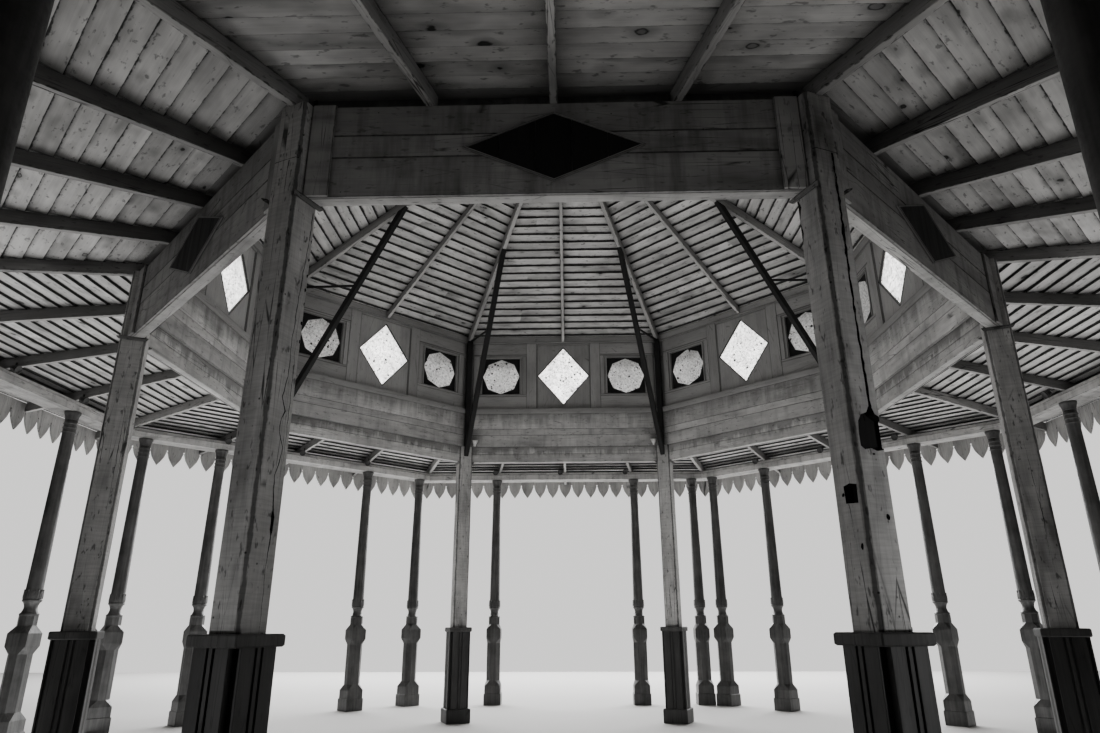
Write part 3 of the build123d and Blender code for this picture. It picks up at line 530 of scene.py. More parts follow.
class Timbers:
    """Bars and boards gathered into one mesh, each with its own grain and tone."""

    def __init__(self, seed):
        self.chance = Random(seed)
        self.points, self.faces = [], []
        self.grain, self.half, self.tone = [], [], []

    def bar(self, section, place, length, rows=12, wear=0.0012, ends=0.0, tone=None):
        """One bar: a cross-section carried along by place(share of its length, u, v)."""
        tone = self.chance.random() if tone is None else tone
        shift = self.chance.uniform(0, 40)
        spans = [(min(part), max(part)) for part in zip(*section)]
        middle = [(low + high) / 2 for low, high in spans]
        half = [(high - low) / 2 for low, high in spans]
        shares, eased = [row / rows for row in range(rows + 1)], [0.0] * (rows + 1)
        if ends:
            shares = [0.0, ends / length] + shares[1:-1] + [1 - ends / length, 1.0]
            eased = [ends] + [0.0] * (len(shares) - 2) + [ends]
        self.faces += skin(len(self.points), len(shares), len(section))
        for share, ease in zip(shares, eased):
            shrink = [1 - ease / max(part, ease * 1.01) if ease else 1 for part in half]
            for corner, (u, v) in enumerate(section):
                waver = noise.noise_vector(Vector((share * length * 2.1 + shift, corner * 2.7, shift))) * wear
                across, deep = u - middle[0], v - middle[1]
                self.points.append(place(
                    share, middle[0] + across * shrink[0] + waver.x, middle[1] + deep * shrink[1] + waver.y
                ))
                self.grain.append((share * length + shift, across, deep))
                self.half.append((*half, 0.0))
                self.tone.append(tone)

    def cut_board(self, outline, place, length, wear):
        """A board cut to an outline across its thickness, with its grain upright."""
        first = len(self.points)
        self.bar(outline, place, length, 1, wear)
        shift = self.chance.uniform(0, 40)
        self.grain[first:] = [(deep + shift, across, 0.0) for along, across, deep in self.grain[first:]]

    def ring(self, section, gap=0.001, rows=20, **look):
        """The same length of timber on every side, from corner to corner and mitred there.
        Its cross-section is given in apothems and heights."""
        middle = sum(point[0] for point in section) / len(section)
        for side in range(SIDES):
            self.bar(
                section,
                lambda share, u, v: spot(side * SECTOR, u, (2 * share - 1) * (u * TAN_HALF - gap), v),
                2 * (middle * TAN_HALF - gap), rows, **look,
            )

    def level(self, side, x, z, t, rows=8, arris=0.003):
        """A level board along a side. x, z and t are its spans out, up and along the side."""
        start, length = t[0], t[1] - t[0]
        self.bar(
            planed(*x, *z, arris), lambda share, u, v: spot(side * SECTOR, u, start + length * share, v),
            length, rows,
        )

    def upright(self, side, x, z, t, rows=8, arris=0.003):
        """An upright board on a side."""
        foot, length = z[0], z[1] - z[0]
        self.bar(
            planed(*x, *t, arris), lambda share, u, v: spot(side * SECTOR, u, v, foot + length * share),
            length, rows,
        )

    def sloping(self, angle, width, depth, start, end, underside, rows=16):
        """A rafter at an angle. start and end are radii, or give one for a distance aside."""
        def reach(edge, u):
            return edge(u) if callable(edge) else edge

        def place(share, u, v):
            out = reach(start, u) + (reach(end, u) - reach(start, u)) * share
            return spot(angle, out, u, underside(out) + v)

        self.bar(
            planed(-width / 2, width / 2, 0, depth, 0.004), place, abs(reach(end, 0) - reach(start, 0)), rows
        )

    def mesh(self, name):
        mesh = bpy.data.meshes.new(name)
        mesh.from_pydata(self.points, [], self.faces)
        lay_grain(mesh, self.grain, self.half, self.tone)
        return outwards(mesh)

    def piece(self, name, finish, slot, *nodes):
        return finished(name, self.mesh(name), finish, slot, *nodes)


def evaluated_mesh(thing):
    bpy.context.view_layer.update()
    return bpy.data.meshes.new_from_object(thing.evaluated_get(bpy.context.evaluated_depsgraph_get()))


def grown(name, tree, values, slot, *nodes):
    """A plain mesh grown by a node tree."""
    grower = in_scene(name + " seed", bpy.data.meshes.new(name + " seed"))
    modifier = grower.modifiers.new("grow", "NODES")
    modifier.node_group = tree
    for item in tree.interface.items_tree:
        if item.in_out == "INPUT" and item.name in values:
            modifier[item.identifier] = values[item.name]
    mesh = evaluated_mesh(grower)
    bpy.data.objects.remove(grower)
    return finished(name, mesh, None, slot, *nodes)


def new_tree(name, inputs):
    """An empty node tree, its steps, its named inputs and its output."""
    tree = bpy.data.node_groups.new(name, "GeometryNodeTree")
    for title, kind in inputs:
        tree.interface.new_socket(title, in_out="INPUT", socket_type="NodeSocket" + kind)
    tree.interface.new_socket("Geometry", in_out="OUTPUT", socket_type="NodeSocketGeometry")
    steps = Steps(tree)
    given = steps.node("NodeGroupInput").outputs
    named = {title: Value(steps, given[title]) for title, kind in inputs}
    return tree, steps, named, steps.node("NodeGroupOutput")


def stored(steps, geometry, name, value, kind="FLOAT"):
    """Geometry with a named attribute on its points."""
    node = steps.node("GeometryNodeStoreNamedAttribute", {"Name": name}, data_type=kind, domain="POINT")
    steps.feed(node.inputs["Geometry"], geometry)
    steps.feed(node.inputs["Value"], value)
    return Value(steps, node.outputs[0])


def lapped_board_tree():
    """Rows of lapped boards on the eight sides of a roof. Each row is cut in two on a rafter, runs
    from hip to hip, and rises by a step at its outer edge, over the board below."""
    numbers = (
        "First apothem", "Pitch", "Board width", "Thickness", "Step", "Peak", "Slope", "Hip gap",
        "Unevenness",
    )
    tree, steps, size, out = new_tree("Lapped boards", [
        ("Rows", "Int"), *((title, "Float") for title in numbers), ("Seed", "Int"), ("Finish", "Material"),
    ])
    first, pitch, width, thickness, step, peak, slope, hip_gap, uneven = (size[title] for title in numbers)

    def whole(value):
        return steps.math("FLOOR", value)

    def dice(identity, shift, low=0.0, high=1.0):
        node = steps.node("FunctionNodeRandomValue", data_type="FLOAT")
        low_socket, high_socket = [s for s in node.inputs if s.type == "VALUE" and s.enabled]
        for socket, value in (
            (low_socket, low), (high_socket, high), (node.inputs["ID"], identity),
            (node.inputs["Seed"], size["Seed"] + float(shift)),
        ):
            steps.feed(socket, value)
        return Value(steps, [s for s in node.outputs if s.type == "VALUE" and s.enabled][0])

    points = steps.add("GeometryNodePoints", {"Count": size["Rows"] * (2.0 * SIDES)})
    index = steps.add("GeometryNodeInputIndex")
    per_side = size["Rows"] * 2.0
    side = whole(steps.math("DIVIDE", index + 0.5, per_side))
    in_side = index - side * per_side
    row = whole((in_side + 0.5) * 0.5)
    cut = (whole(dice(whole((index + 0.5) * 0.5), 1, 0.0, 2.999)) - 1.0) * 0.485
    given = {
        "side": side, "row": row, "side half": in_side - row * 2.0, "cut": cut, "tone": dice(index, 2),
        "lift": dice(index, 3), "skew": dice(index, 4, -1.0, 1.0),
    }
    for name, value in given.items():
        points = stored(steps, points, name, value)
    board = {"Size": (1.0, 1.0, 1.0), "Vertices X": 2, "Vertices Y": 15, "Vertices Z": 2}
    board = steps.add("GeometryNodeMeshCube", board, "Mesh")
    placed = steps.add("GeometryNodeInstanceOnPoints", {"Points": points, "Instance": board})
    real = steps.add("GeometryNodeRealizeInstances", {"Geometry": placed})

    across, along, up = (part + 0.5 for part in steps.parts(steps.add("GeometryNodeInputPosition")))
    side, row, half, cut, tone, lift, skew = (
        steps.add("GeometryNodeInputNamedAttribute", {"Name": name}, data_type="FLOAT") for name in given
    )
    low, high = half * (cut + 1.0) - 1.0, cut + half * (1.0 - cut)
    apothem = first + row * pitch + across * width
    aside = (low + along * (high - low)) * (apothem * TAN_HALF - hip_gap)
    waved = steps.vector(aside, apothem + tone, side * 9.0)
    ragged = steps.span(steps.noise(steps.scaled(waved, 3.1, 9.0, 1.0), 3.0, 0.7), 0.3, 0.7, -1.0, 1.0)
    apothem += skew * uneven * (along - 0.5) + ragged * uneven * (across - 0.5)
    sag = steps.span(steps.noise(steps.scaled(waved, 1.3, 7.0, 1.0), 1.0), 0.3, 0.7)
    lifted = (sag + lift) * (uneven * 0.5)
    height = peak - slope * apothem + across * step + up * thickness + across * lifted
    turned = steps.add(
        "ShaderNodeVectorRotate", {"Vector": steps.vector(apothem, aside, height), "Angle": side * SECTOR},
        rotation_type="Z_AXIS",
    )
    grain = steps.vector(aside + side * 5.0, (across - 0.5) * width, (up - 0.5) * thickness)
    real = stored(steps, real, "grain", grain, "FLOAT_VECTOR")
    real = stored(steps, real, "half", steps.vector(width * 0.5, thickness * 0.5, 0.0), "FLOAT_VECTOR")
    moved = steps.add("GeometryNodeSetPosition", {"Geometry": real, "Position": turned})
    dressed = steps.add("GeometryNodeSetMaterial", {"Geometry": moved, "Material": size["Finish"]})
    steps.feed(out.inputs[0], dressed)
    return tree


board_tree = lapped_board_tree()


def lapped_rows(
    name, start, end, pitch, peak, slope, seed, finish, slot, node, thickness=0.018, step=0.026, lap=0.014,
    uneven=0.006,
):
    """Lapped boards or sheets over a roof, from one apothem to another."""
    rows = ceil((end - start) / (pitch / hypot(1, slope)))
    plan_pitch = (end - start) / rows
    return grown(name, board_tree, {
        "Rows": rows, "First apothem": start, "Pitch": plan_pitch, "Board width": plan_pitch + lap,
        "Thickness": thickness, "Step": step, "Peak": peak, "Slope": slope, "Hip gap": 0.002,
        "Unevenness": uneven, "Seed": seed, "Finish": finish,
    }, slot, node)


def main_roof():
    lapped_rows(
        "main_roof_boards", 0.03, ROOF_EDGE - 0.016, BOARD_PITCH, APEX, ROOF_SLOPE, 3, roof_board_paint,
        "roof_boards", "roof_boarding", thickness=0.020, step=0.029,
    )
    rafters = Timbers(11)
    boss, wall, tail = 0.150, BEAM_INNER - 0.012, ROOF_EDGE - 0.024
    for side in range(SIDES):
        middle, hip = side * SECTOR, side * SECTOR + HALF
        rafters.sloping(middle, 0.050, 0.100, boss, wall, lambda out: ceiling(out) - 0.100, 24)
        rafters.sloping(hip, 0.062, 0.130, boss / COS_HALF, mitre(wall), hip_underside, 24)
        rafters.sloping(middle, 0.050, 0.090, WALL_OUTER, tail, lambda out: ceiling(out) - 0.090, 4)
        rafters.sloping(
            hip, 0.062, 0.090, mitre(WALL_OUTER), mitre(tail), lambda out: hip_underside(out) + 0.040, 4
        )
    rafters.piece(
        "main_roof_rafters", rafter_paint, "rafter_timber", "hip_rafters", "middle_rafters", "rafter_tails"
    )
    edge = Timbers(12)
    foot = ceiling(ROOF_EDGE) - 0.150
    edge.ring([
        (tail, foot), (ROOF_EDGE - 0.006, foot), (ROOF_EDGE, foot + 0.006), (ROOF_EDGE, ceiling(ROOF_EDGE)),
        (tail, ceiling(tail)),
    ], rows=24)
    edge.piece("roof_edge", rafter_paint, "rafter_timber", "roof_edge_boards")


def veranda_roof():
    lapped_rows(
        "veranda_boards", WALL_OUTER + 0.004, VERANDA_EDGE - 0.016, BOARD_PITCH, VERANDA_PEAK,
        VERANDA_SLOPE, 8, board_paint, "roof_boards", "veranda_boarding",
    )
    rafters, hips = Timbers(13), Timbers(17)
    inner, rest = WALL_OUTER - 0.068, BEAM_TOP + 0.0005
    for side in range(SIDES):
        timbers = hips if side == FRONT else rafters
        for turn in FAN:
            timbers.sloping(
                side * SECTOR + turn, 0.053, 0.124,
                lambda u: (inner + u * sin(turn)) / cos(turn),
                lambda u: (VALANCE_INNER - 0.0005 + u * sin(turn)) / cos(turn),
                lambda out: min(rest, veranda_underside(out * cos(turn))), 26,
            )
        hips.sloping(
            side * SECTOR + HALF, 0.060, 0.122, inner / COS_HALF, mitre(VALANCE_INNER),
            lambda out: min(rest, veranda_underside(out * COS_HALF) + 0.001), 26,
        )
    rafters.piece("veranda_rafter_timbers", veranda_paint, "rafter_timber", "veranda_rafters")
    hips.piece("veranda_hip_timbers", hip_paint, "rafter_timber", "veranda_hips")
    eaves = Timbers(14)
    inner = COLUMN_LINE - 0.075
    eaves.ring(planed(inner, inner + 0.098, COLUMN_HEIGHT, EAVES_TOP, 0.005), rows=30)
    eaves.ring(planed(inner + 0.100, inner + 0.330, COLUMN_HEIGHT + 0.004, EAVES_TOP, 0.004), rows=30)
    near, far = COLUMN_LINE - 0.050, COLUMN_LINE + 0.050
    eaves.ring(
        [(near, EAVES_TOP), (far, EAVES_TOP), (far, veranda_underside(far)), (near, veranda_underside(near))],
        rows=24,
    )
    eaves.piece("eaves_timbers", beam_paint, "beam_timber", "eaves_beams", "eaves_plates")


def pendant_outline(pitch, hole, gap):
    """A pendant of the valance: a board with a pointed end and half a keyhole on both sides."""
    right = [(pitch / 2 - gap, 0.156), (pitch / 2 - gap, 2 * hole)]
    for step in range(1, 7):
        turn = pi / 2 + pi * step / 7
        right.append((pitch / 2 - gap + hole * cos(turn), hole + hole * sin(turn)))
    right.append((pitch / 2 - 0.006, -0.004))
    right += [
        (pitch * share, height) for share, height in
        ((0.43, -0.045), (0.38, -0.090), (0.33, -0.120), (0.22, -0.165), (0.11, -0.207), (0.0, -0.245))
    ]
    return right + [(-x, y) for x, y in right[-2::-1]]


def valance():
    """A row of pendants on every side of the eaves, cut from upright boards."""
    teeth, thin = 23, 0.0012
    length = 2 * VALANCE_INNER * TAN_HALF
    pitch = length / teeth
    notch = veranda_underside(VALANCE_OUTER) + VERANDA_RAFTER - 0.156
    outline = pendant_outline(pitch, 0.013, 0.0008)
    boards = Timbers(15)
    for side in range(SIDES):
        for tooth in range(teeth):
            middle = (tooth + 0.5) * pitch - length / 2
            drop = boards.chance.uniform(-0.002, 0.002)
            boards.cut_board(
                outline,
                lambda share, u, v: spot(
                    side * SECTOR, VALANCE_INNER + thin + (0.025 - 2 * thin) * share, middle + u,
                    notch + v + drop,
                ),
                0.0225, 0.0006,
            )
    boards.piece("valance_pendants", pendant_paint, "rafter_timber", "valance")


def hall_beams():
    """Ring beam, the planks outside it and the boards inside it."""
    stop = POST_HALF / COS_HALF + 0.0005
    beams, planks, ends, fascias = (Timbers(seed) for seed in (21, 22, 23, 24))
    for low, high, arris, rows in (
        (BEAM_BOTTOM, 4.102, 0.004, 30), (4.105, STEP - 0.001, 0.004, 30), (STEP, BEAM_TOP, 0.003, 8),
    ):
        beams.ring(planed(BEAM_INNER, BEAM_OUTER, low, high, arris), stop, rows)
    beams.piece("ring_beam_timbers", lower_paint, "beam_timber", "ring_beams")
    for low, high in ((BEAM_BOTTOM, 4.250), (4.2535, 4.417), (4.4205, BEAM_TOP)):
        planks.ring(planed(BEAM_OUTER + 0.0005, WALL_OUTER, low, high), stop, 34, wear=0.0022)
    planks.piece("outer_planks", shaded_plank_paint, "beam_timber", "outer_boards")
    reach = WALL_OUTER * TAN_HALF - stop
    face = (WALL_OUTER + 0.001, WALL_OUTER + 0.022)
    for side in range(SIDES):
        for hand in (-1, 1):
            span = sorted((hand * (reach - 0.155), hand * (reach - 0.001)))
            ends.upright(side, face, (BEAM_BOTTOM, BEAM_TOP), span, 12, 0.004)
    ends.piece("end_boards", shaded_plank_paint, "beam_timber", "beam_end_boards")
    for low, high in ((STEP, 4.417), (4.4195, 4.524), (4.5265, SILL_BOTTOM - 0.001)):
        fascias.ring(planed(FASCIA_INNER, BEAM_INNER - 0.0005, low, high, 0.004), rows=34, wear=0.0018)
    fascias.piece("inner_boards", fascia_paint, "beam_timber", "inner_fascias")


def diamond_bead(timbers, side, foot, wide, high, middle, section, rows, wear, inset=1):
    """A bead along the four edges of a diamond. Its section's v runs inwards, or outwards."""
    lean = hypot(wide, high)
    for hand in (-1, 1):
        for up in (-1, 1):
            def place(share, u, v):
                ahead = 1 - inset * v * lean / (wide * high)
                return spot(
                    side * SECTOR, foot + u, hand * wide * share * ahead,
                    middle + up * high * (1 - share) * ahead,
                )

            timbers.bar(section, place, lean, rows, wear)


def plaques():
    """Diamond plaques on the outer faces: five upright boards with a bead round their edge."""
    wide, high, foot, gap = 0.590, 0.260, WALL_OUTER + 0.0015, 0.0012
    middle = (BEAM_BOTTOM + BEAM_TOP) / 2
    boards, beads = Timbers(25), Timbers(26)
    cuts = (-1.0, -0.62, -0.21, 0.2, 0.6, 1.0)
    for side in range(SIDES):
        for left, right in zip(cuts, cuts[1:]):
            corners = [left * (wide - 0.012) + gap, right * (wide - 0.012) - gap]
            if left < 0 < right:
                corners.insert(1, 0.0)
            rim = [(t, (high - 0.007) * (1 - abs(t) / (wide - 0.006))) for t in corners]
            boards.cut_board(
                [(t, -edge) for t, edge in rim] + rim[::-1],
                lambda share, u, v: spot(side * SECTOR, foot + 0.014 * share, u, middle + v), 0.014, 0.0,
            )
        diamond_bead(beads, side, foot, wide, high, middle, planed(0.0, 0.020, 0.0, 0.012, 0.002), 8, 0.0006)
    boards.piece("diamond_plaques", dark_paint, "dark_timber", "beam_plaques")
    beads.piece("plaque_beads", window_paint, "dark_timber")


def panel_with_hole(timbers, side, x, t, z, hole):
    """A flat panel round an opening: one board of grain, cut into faces from the opening to the rim."""
    hole = with_corners(hole, t, z)
    tone, shift = timbers.chance.random(), timbers.chance.uniform(0, 40)
    centre_t, centre_z = (t[0] + t[1]) / 2, (z[0] + z[1]) / 2
    rim = []
    for u, v in hole:
        away_t, away_z = u - centre_t, v - centre_z
        grow = min((t[1] - centre_t) / abs(away_t or 1e-9), (z[1] - centre_z) / abs(away_z or 1e-9))
        rim.append((centre_t + away_t * grow, centre_z + away_z * grow))
    first, count = len(timbers.points), len(hole)
    for out in x:
        for u, v in hole + rim:
            timbers.points.append(spot(side * SECTOR, out, u, v))
            timbers.grain.append((v + shift, u - centre_t, out - x[0]))
            timbers.half.append((1.0, 1.0, 0.0))
            timbers.tone.append(tone)
    inner, outer, inner_back, outer_back = (first + count * part for part in range(4))
    for corner in range(count):
        ahead = (corner + 1) % count
        timbers.faces += [
            (inner + corner, inner + ahead, outer + ahead, outer + corner),
            (inner_back + ahead, inner_back + corner, outer_back + corner, outer_back + ahead),
            (inner + ahead, inner + corner, inner_back + corner, inner_back + ahead),
            (outer + corner, outer + ahead, outer_back + ahead, outer_back + corner),
        ]


def with_corners(loop, t, z):
    """Adds points to an opening's outline, in line with the corners of its panel."""
    centre = ((t[0] + t[1]) / 2, (z[0] + z[1]) / 2)
    made = []
    for (u0, v0), (u1, v1) in zip(loop, loop[1:] + loop[:1]):
        made.append((u0, v0))
        for du, dv in ((u - centre[0], v - centre[1]) for u in t for v in z):
            across = du * (v1 - v0) - dv * (u1 - u0)
            if abs(across) < 1e-9:
                continue
            along = ((u0 - centre[0]) * (v1 - v0) - (v0 - centre[1]) * (u1 - u0)) / across
            point = (centre[0] + along * du, centre[1] + along * dv)
            square = (u1 - u0) ** 2 + (v1 - v0) ** 2
            share = ((point[0] - u0) * (u1 - u0) + (point[1] - v0) * (v1 - v0)) / square
            if along > 0 and 1e-4 < share < 1 - 1e-4:
                made.append(point)
    return made


def window_wall():
    """Sills, heads, mullions, panels and the joiner's frames round the windows."""
    rails, uprights, panels, frames = (Timbers(seed) for seed in (31, 32, 33, 34))
    surrounds, studs, beads = (Timbers(seed) for seed in (35, 36, 37))
    zone = (SILL_TOP, HEAD_BOTTOM)
    inner, head = FASCIA_INNER - 0.018, BEAM_INNER - 0.012
    rails.ring([
        (inner + 0.010, SILL_BOTTOM), (WALL_OUTER, SILL_BOTTOM), (WALL_OUTER, SILL_TOP),
        (inner + 0.016, SILL_TOP), (inner + 0.004, SILL_TOP - 0.006), (inner, SILL_TOP - 0.020),
        (inner, SILL_BOTTOM + 0.024), (inner + 0.004, SILL_BOTTOM + 0.010),
    ], rows=30)
    rails.ring([
        (head + 0.004, HEAD_BOTTOM), (WALL_OUTER, HEAD_BOTTOM), (WALL_OUTER, ceiling(WALL_OUTER)),
        (head, ceiling(head)), (head, HEAD_BOTTOM + 0.004),
    ], rows=30)
    rails.ring(planed(head - 0.014, head, HEAD_BOTTOM + 0.002, HEAD_BOTTOM + 0.020, 0.005), rows=24)

    bay = MULLION_CENTRE - MULLION_WIDTH / 2
    wide, high = bay - 0.017, 0.525
    back, batten, lowered = (PANEL_INNER, PANEL_OUTER), (BEAM_INNER + 0.004, PANEL_INNER), HEAD_BOTTOM - 0.030
    diamond = [
        (wide, WINDOW_MIDDLE), (0.0, WINDOW_MIDDLE + high), (-wide, WINDOW_MIDDLE),
        (0.0, WINDOW_MIDDLE - high),
    ]
    for side in range(SIDES):
        for hand in (-1, 1):
            centre = hand * MULLION_CENTRE
            span = (centre - MULLION_WIDTH / 2, centre + MULLION_WIDTH / 2)
            uprights.upright(side, (BEAM_INNER, WALL_OUTER), zone, span, 12, 0.004)
        panel_with_hole(panels, side, back, (-bay + 0.0003, bay - 0.0003), zone, diamond)
        panels.level(side, batten, (lowered, HEAD_BOTTOM), (-bay + 0.002, bay - 0.002))
        for hand in (-1, 1):
            span = sorted((hand * (bay - 0.002), hand * (bay - 0.014)))
            panels.upright(side, (PANEL_INNER - 0.008, PANEL_INNER), (SILL_TOP, lowered), span)
        # painted shade: a dark bead round each diamond opening stands in for the shadow in its reveal
        diamond_bead(
            beads, side, PANEL_INNER - 0.0005, wide, high, WINDOW_MIDDLE,
            planed(-0.005, 0.020, -0.010, 0.001, 0.001), 6, 0.0004, inset=-1,
        )
    uprights.piece("window_mullions", window_paint, "window_timber", "clerestory_mullions")
    beads.piece("diamond_beads", dark_paint, "dark_timber")
    panels.piece("diamond_panel_boards", window_paint, "window_timber", "diamond_panels")

    edge, inset = PANEL_INNER * TAN_HALF - 0.002, PANEL_OUTER - 0.020
    low, high = WINDOW_MIDDLE - RECESS_HALF, WINDOW_MIDDLE + RECESS_HALF
    left, right = RECESS_CENTRE - RECESS_HALF, RECESS_CENTRE + RECESS_HALF
    begin = MULLION_CENTRE + MULLION_WIDTH / 2 + 0.001
    inside, face = BEAM_INNER + 0.006, PANEL_INNER - 0.0005
    front, bead, wide = (inside, face), (PANEL_INNER - 0.018, face), (begin + 0.001, right + 0.16)
    level, upright = frames.level, frames.upright
    for side in range(SIDES):
        for hand in (-1, 1):
            for lay, x, z, t, rows, arris in (
                (level, back, (SILL_TOP, low), (begin, edge), 8, 0.003),
                (level, back, (high, HEAD_BOTTOM), (begin, edge), 8, 0.003),
                (upright, back, (low, high), (begin, left), 8, 0.003),
                (upright, back, (low, high), (right, edge), 8, 0.003),
                (level, front, (SILL_TOP, low - 0.046), wide, 10, 0.003),
                (level, (inside - 0.008, face), (low - 0.044, low - 0.012), wide, 10, 0.006),
                (level, front, (high + 0.070, HEAD_BOTTOM - 0.001), wide, 10, 0.003),
                (level, (inside + 0.004, face), (high + 0.040, high + 0.067), wide, 10, 0.006),
                (upright, front, (low - 0.010, high + 0.038), (begin + 0.001, left - 0.052), 10, 0.003),
                (upright, front, (low - 0.010, high + 0.038), (right + 0.050, right + 0.16), 10, 0.003),
                (level, bead, (high + 0.004, high + 0.028), (left - 0.024, right + 0.024), 8, 0.005),
                (level, bead, (low - 0.010, low - 0.001), (left - 0.024, right + 0.024), 8, 0.003),
                (upright, bead, (low, high + 0.003), (left - 0.026, left - 0.002), 8, 0.005),
                (upright, bead, (low, high + 0.003), (right + 0.002, right + 0.026), 8, 0.005),
            ):
                lay(side, x, z, sorted((hand * t[0], hand * t[1])), rows, arris)
            centre = hand * RECESS_CENTRE
            opening = [
                (centre + OCTAGON_RADIUS * cos(k * SECTOR), WINDOW_MIDDLE + OCTAGON_RADIUS * sin(k * SECTOR))
                for k in range(SIDES)
            ]
            span = sorted((hand * (left + 0.0005), hand * (right - 0.0005)))
            panel_with_hole(
                surrounds, side, (inset, inset + 0.014), span, (low + 0.0005, high - 0.0005), opening
            )
            corner = WALL_OUTER * TAN_HALF
            span = sorted((hand * (corner - 0.120 / COS_HALF), hand * (corner - 0.012)))
            studs.upright(side, (PANEL_OUTER + 0.001, WALL_OUTER), zone, span, 12, 0.004)
    frames.piece("recess_frames", window_paint, "window_timber", "recess_panels")
    surrounds.piece("octagon_boards", dark_paint, "dark_timber", "octagon_surrounds")
    studs.piece("outer_corner_studs", window_paint, "window_timber", "corner_studs")
    rails.piece("sills_and_heads", window_paint, "window_timber", "clerestory_sills", "clerestory_heads")
    keep_solid("diamond_panes", diamond_glass)
    keep_solid("octagon_panes", octagon_glass)


def corner_timbers():
    """Dark posts in the inner corners and the struts up to the hip rafters."""
    timbers = Timbers(41)
    face = FASCIA_INNER / COS_HALF - 0.066
    top = hip_underside(face) - 0.001
    foot_r, foot_z = STRUT_FOOT
    fall = ROOF_SLOPE * COS_HALF
    for side in range(SIDES):
        angle = side * SECTOR + HALF
        timbers.bar(
            planed(face, face + 0.100, -0.045, 0.045, 0.006),
            lambda share, u, v: spot(angle, u, v, STEP + (top - STEP - fall * (u - face)) * share),
            top - STEP, 20,
        )

        def place(share, u, v):
            offset = v * hypot(1, 1 / STRUT_SLOPE)
            head = (foot_z + STRUT_SLOPE * (foot_r + offset) - hip_underside(0)) / (STRUT_SLOPE - fall)
            out = foot_r + (head - foot_r) * share
            return spot(angle, out, u, foot_z + STRUT_SLOPE * (foot_r + offset - out))

        length = hypot(STRUT_RUN, STRUT_RUN * STRUT_SLOPE)
        timbers.bar(planed(-0.0375, 0.0375, -0.039, 0.039, 0.005), place, length, 24, 0.002)
    timbers.piece("struts_and_corner_posts", dark_paint, "dark_timber", "roof_struts", "corner_posts")


class PostCuts:
    """Cutters for the cracks and holes in one face of a post. Places are given as distances
    aside of the face's middle line, and heights."""

    def __init__(self, side, face):
        self.side, self.face = side, face
        angle = side * SECTOR + HALF
        turn = angle + face * pi / 2
        self.normal, self.across = Vector((cos(turn), sin(turn), 0)), Vector((-sin(turn), cos(turn), 0))
        self.centre = Vector((POST_RING * cos(angle), POST_RING * sin(angle), 0)) + self.normal * POST_HALF
        self.cutters = []

    def crack(self, path, depth, seed):
        """A jagged wedge along a drying crack. The path gives heights, places and widths."""
        chance = Random(seed)
        fine = []
        for (z0, a0, w0), (z1, a1, w1) in zip(path, path[1:]):
            steps = max(1, round((z1 - z0) / 0.035))
            for share in (step / steps for step in range(steps)):
                jag = chance.uniform(-0.0038, 0.0038)
                wide = (w0 + (w1 - w0) * share) * chance.uniform(0.6, 1.3)
                fine.append((z0 + (z1 - z0) * share, a0 + (a1 - a0) * share + jag, wide))
        fine.append(path[-1])
        points = []
        for z, aside, wide in fine:
            centre = Vector((self.centre[0], self.centre[1], z)) + self.across * aside
            points += [
                centre + self.across * (wide / 2) + self.normal * 0.004,
                centre - self.across * (wide / 2) + self.normal * 0.004,
                centre - self.normal * depth * min(1.0, 0.3 + wide / 0.012),
            ]
        self.cutters.append((points, skin(0, len(fine), 3)))

    def hole(self, outline, depth):
        """A hole with a given outline, a little narrower at its bottom."""
        points = []
        for out, shrink in ((0.02, 1.0), (-depth, 0.86)):
            for aside, height in outline:
                middle = Vector((self.centre[0], self.centre[1], height))
                points.append(middle + self.across * aside * shrink + self.normal * out)
        count = len(outline)
        faces = [tuple(range(count)), tuple(range(2 * count - 1, count - 1, -1))]
        for corner in range(count):
            ahead = (corner + 1) % count
            faces.append((corner, corner + count, ahead + count, ahead))
        self.cutters.append((points, faces))

    def pit(self, aside, height, wide, high, depth, chance):
        """A small uneven hole."""
        outline = []
        for step in range(8):
            turn, out = step * SECTOR, chance.uniform(0.65, 1.1)
            outline.append((aside + wide * out * cos(turn), height + high * out * sin(turn)))
        self.hole(outline, depth)

    def scarf(self):
        """The level joint in every post's outer face, with an upright one below it."""
        self.hole([
            (-0.116, 4.216), (-0.04, 4.219), (0.03, 4.2205), (0.116, 4.217), (0.116, 4.2222),
            (0.02, 4.2232), (-0.116, 4.2222),
        ], 0.02)
        self.crack([(3.96, 0.028, 0.003), (4.1, 0.030, 0.004), (4.212, 0.034, 0.007)], 0.03, 907)

    def split(self, chance):
        """One crack at a place, length and width that fall by chance."""
        chance.choice((1, 1, 2))
        low = chance.uniform(PEDESTAL_TOP + 0.02, 2.8)
        high = min(low + chance.uniform(0.5, 1.5), 4.21)
        start = chance.uniform(-0.06, 0.06)
        middle = start + chance.uniform(-0.014, 0.014)
        wide = chance.uniform(0.003, 0.007)
        end = start + chance.uniform(-0.02, 0.02)
        path = [(low, start, 0.0012), ((2 * low + high) / 3, middle, wide), (high, end, 0.0012)]
        self.crack(path, 0.03, self.side * 10 + self.face)


